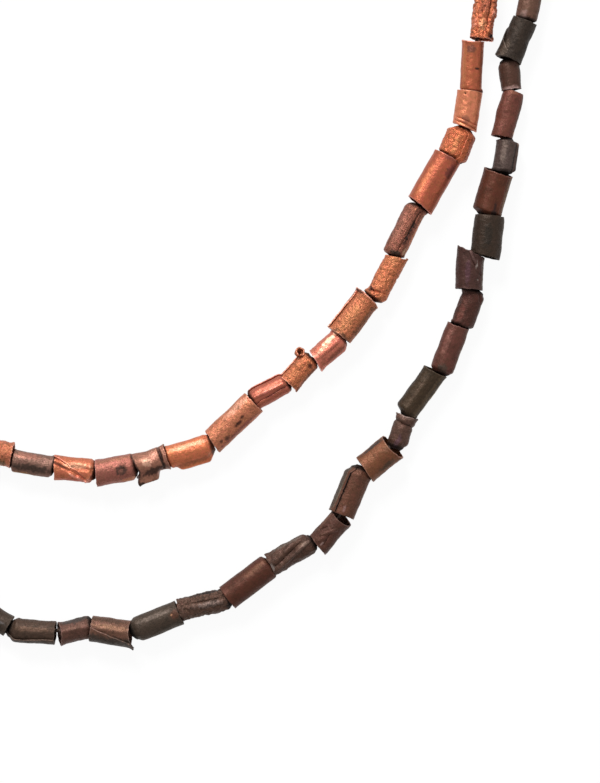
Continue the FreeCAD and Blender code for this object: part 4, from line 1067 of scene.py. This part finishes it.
def add_folded_end(node, fold_side):
    """A cord end: sheet folded round both cords, hammered flat and crimped twice. The sheet's
    outer edge lies on top, fold_side says on which side of it the second layer is."""
    low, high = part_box(node)
    half = (high - low) / 2
    bm = bmesh.new()
    bmesh.ops.create_cube(bm, size=2)
    bmesh.ops.subdivide_edges(bm, edges=bm.edges, cuts=23, use_grid_fill=True)
    for vertex in bm.verts:
        x, y, z = vertex.co
        # Rounder corners seen from above than at the edges of the plate.
        plan = max((abs(x) ** 9 + abs(y) ** 9) ** (1 / 9), 1e-6)
        turn = max(plan, abs(z)) / (plan ** 6 + abs(z) ** 6) ** (1 / 6)
        size = max(abs(x), abs(y)) / plan
        spot = Vector((x * size * turn * half.x, y * size * turn * half.y, z * turn * half.z))
        crimp = sum(hump(spot.x - at * half.x, 0.45 * MM) for at in (-0.42, 0.42))
        second = smooth_step(-0.12, 0.12, spot.x * fold_side / MM + 0.15 * math.sin(spot.y / MM))
        blow = uneven(spot / MM, 1.5, 60 + fold_side) * 0.08
        lift = -0.22 * crimp + 0.14 * (second - 1) + blow - 0.05
        spot.z += lift * MM * max(z, 0.0) ** 3
        spot.y -= math.copysign(0.12 * crimp * MM, y) * abs(y) ** 3
        vertex.co = (low + high) / 2 + spot
    add_piece("folded_" + node, bm, CLASP_COPPER, ROOT, node)


inner_places = add_beads("inner", INNER_LOOKS, PICKLED)
outer_places = add_beads("outer", OUTER_LOOKS, PATINATED)
add_twisted_cord("inner_cord", inner_places)
add_twisted_cord("outer_cord", outer_places)
add_folded_end("left_cord_end", 1)
add_folded_end("right_cord_end", -1)
for node in ("toggle_ring", "toggle_tongue", "toggle_bar"):
    clasp_mesh = frame["nodes"][node].data
    clasp_mesh.materials.clear()
    clasp_mesh.materials.append(CLASP_COPPER)


# ---------------------------------------------------------------- floor and light
CARD_GLOW = 0.93          # how much light the white card gives off where it is looked at
CARD_SIZE = 30.0          # half its side, in metres, to fill a low view
CARD_GAP = 0.02 * MM      # between the card and the lowest bead
ROOM_LIGHT = 0.46


def add_floor():
    """A white card under the lowest bead. It keeps the necklace's shadow."""
    lowest = min(cad_low.z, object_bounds()[0].z) - CARD_GAP
    bm = bmesh.new()
    bmesh.ops.create_grid(bm, x_segments=1, y_segments=1, size=CARD_SIZE)
    bmesh.ops.translate(bm, verts=bm.verts, vec=(0, 0, lowest))
    material, add = new_material("white_card")
    # It glows for the camera, for reflections and for light passing through, and not for the
    # necklace, so that it looks white all over and lights nothing from below.
    path = add("LightPath")
    seen = path.outputs["Is Camera Ray"]
    for other in ("Is Glossy Ray", "Is Transmission Ray"):
        seen = add("Math", (seen, path.outputs[other]), operation="MAXIMUM")
    strength = add("Math", (seen, CARD_GLOW), operation="MULTIPLY")
    glow = add("Emission", (None, strength))
    card = add("BsdfDiffuse", (linear("#505050"),))
    both = add("AddShader", (card, glow))
    add("OutputMaterial", (both,))
    add_mesh("floor", bm, material)


def add_softbox(name, place, size, power):
    """A square lamp above the necklace, turned to its middle."""
    data = bpy.data.lights.new(name, "AREA")
    data.size = size
    data.energy = power
    lamp = add_to_scene(name, data)
    lamp.location = place
    lamp.rotation_euler = (-Vector(place)).to_track_quat("-Z", "Y").to_euler()


def add_world():
    """An even pale room all round."""
    world = bpy.data.worlds.new("studio")
    world.use_nodes = True
    room = world.node_tree.nodes["Background"]
    room.inputs["Color"].default_value = (1, 1, 1, 1)
    room.inputs["Strength"].default_value = ROOM_LIGHT
    bpy.context.scene.world = world


add_floor()
add_world()
add_softbox("upper_left_softbox", (-0.25, 0.7, 0.65), 0.35, 11.0)
add_softbox("right_fill", (0.8, -0.1, 0.6), 0.4, 0.8)
bpy.context.scene.view_settings.view_transform = "Standard"
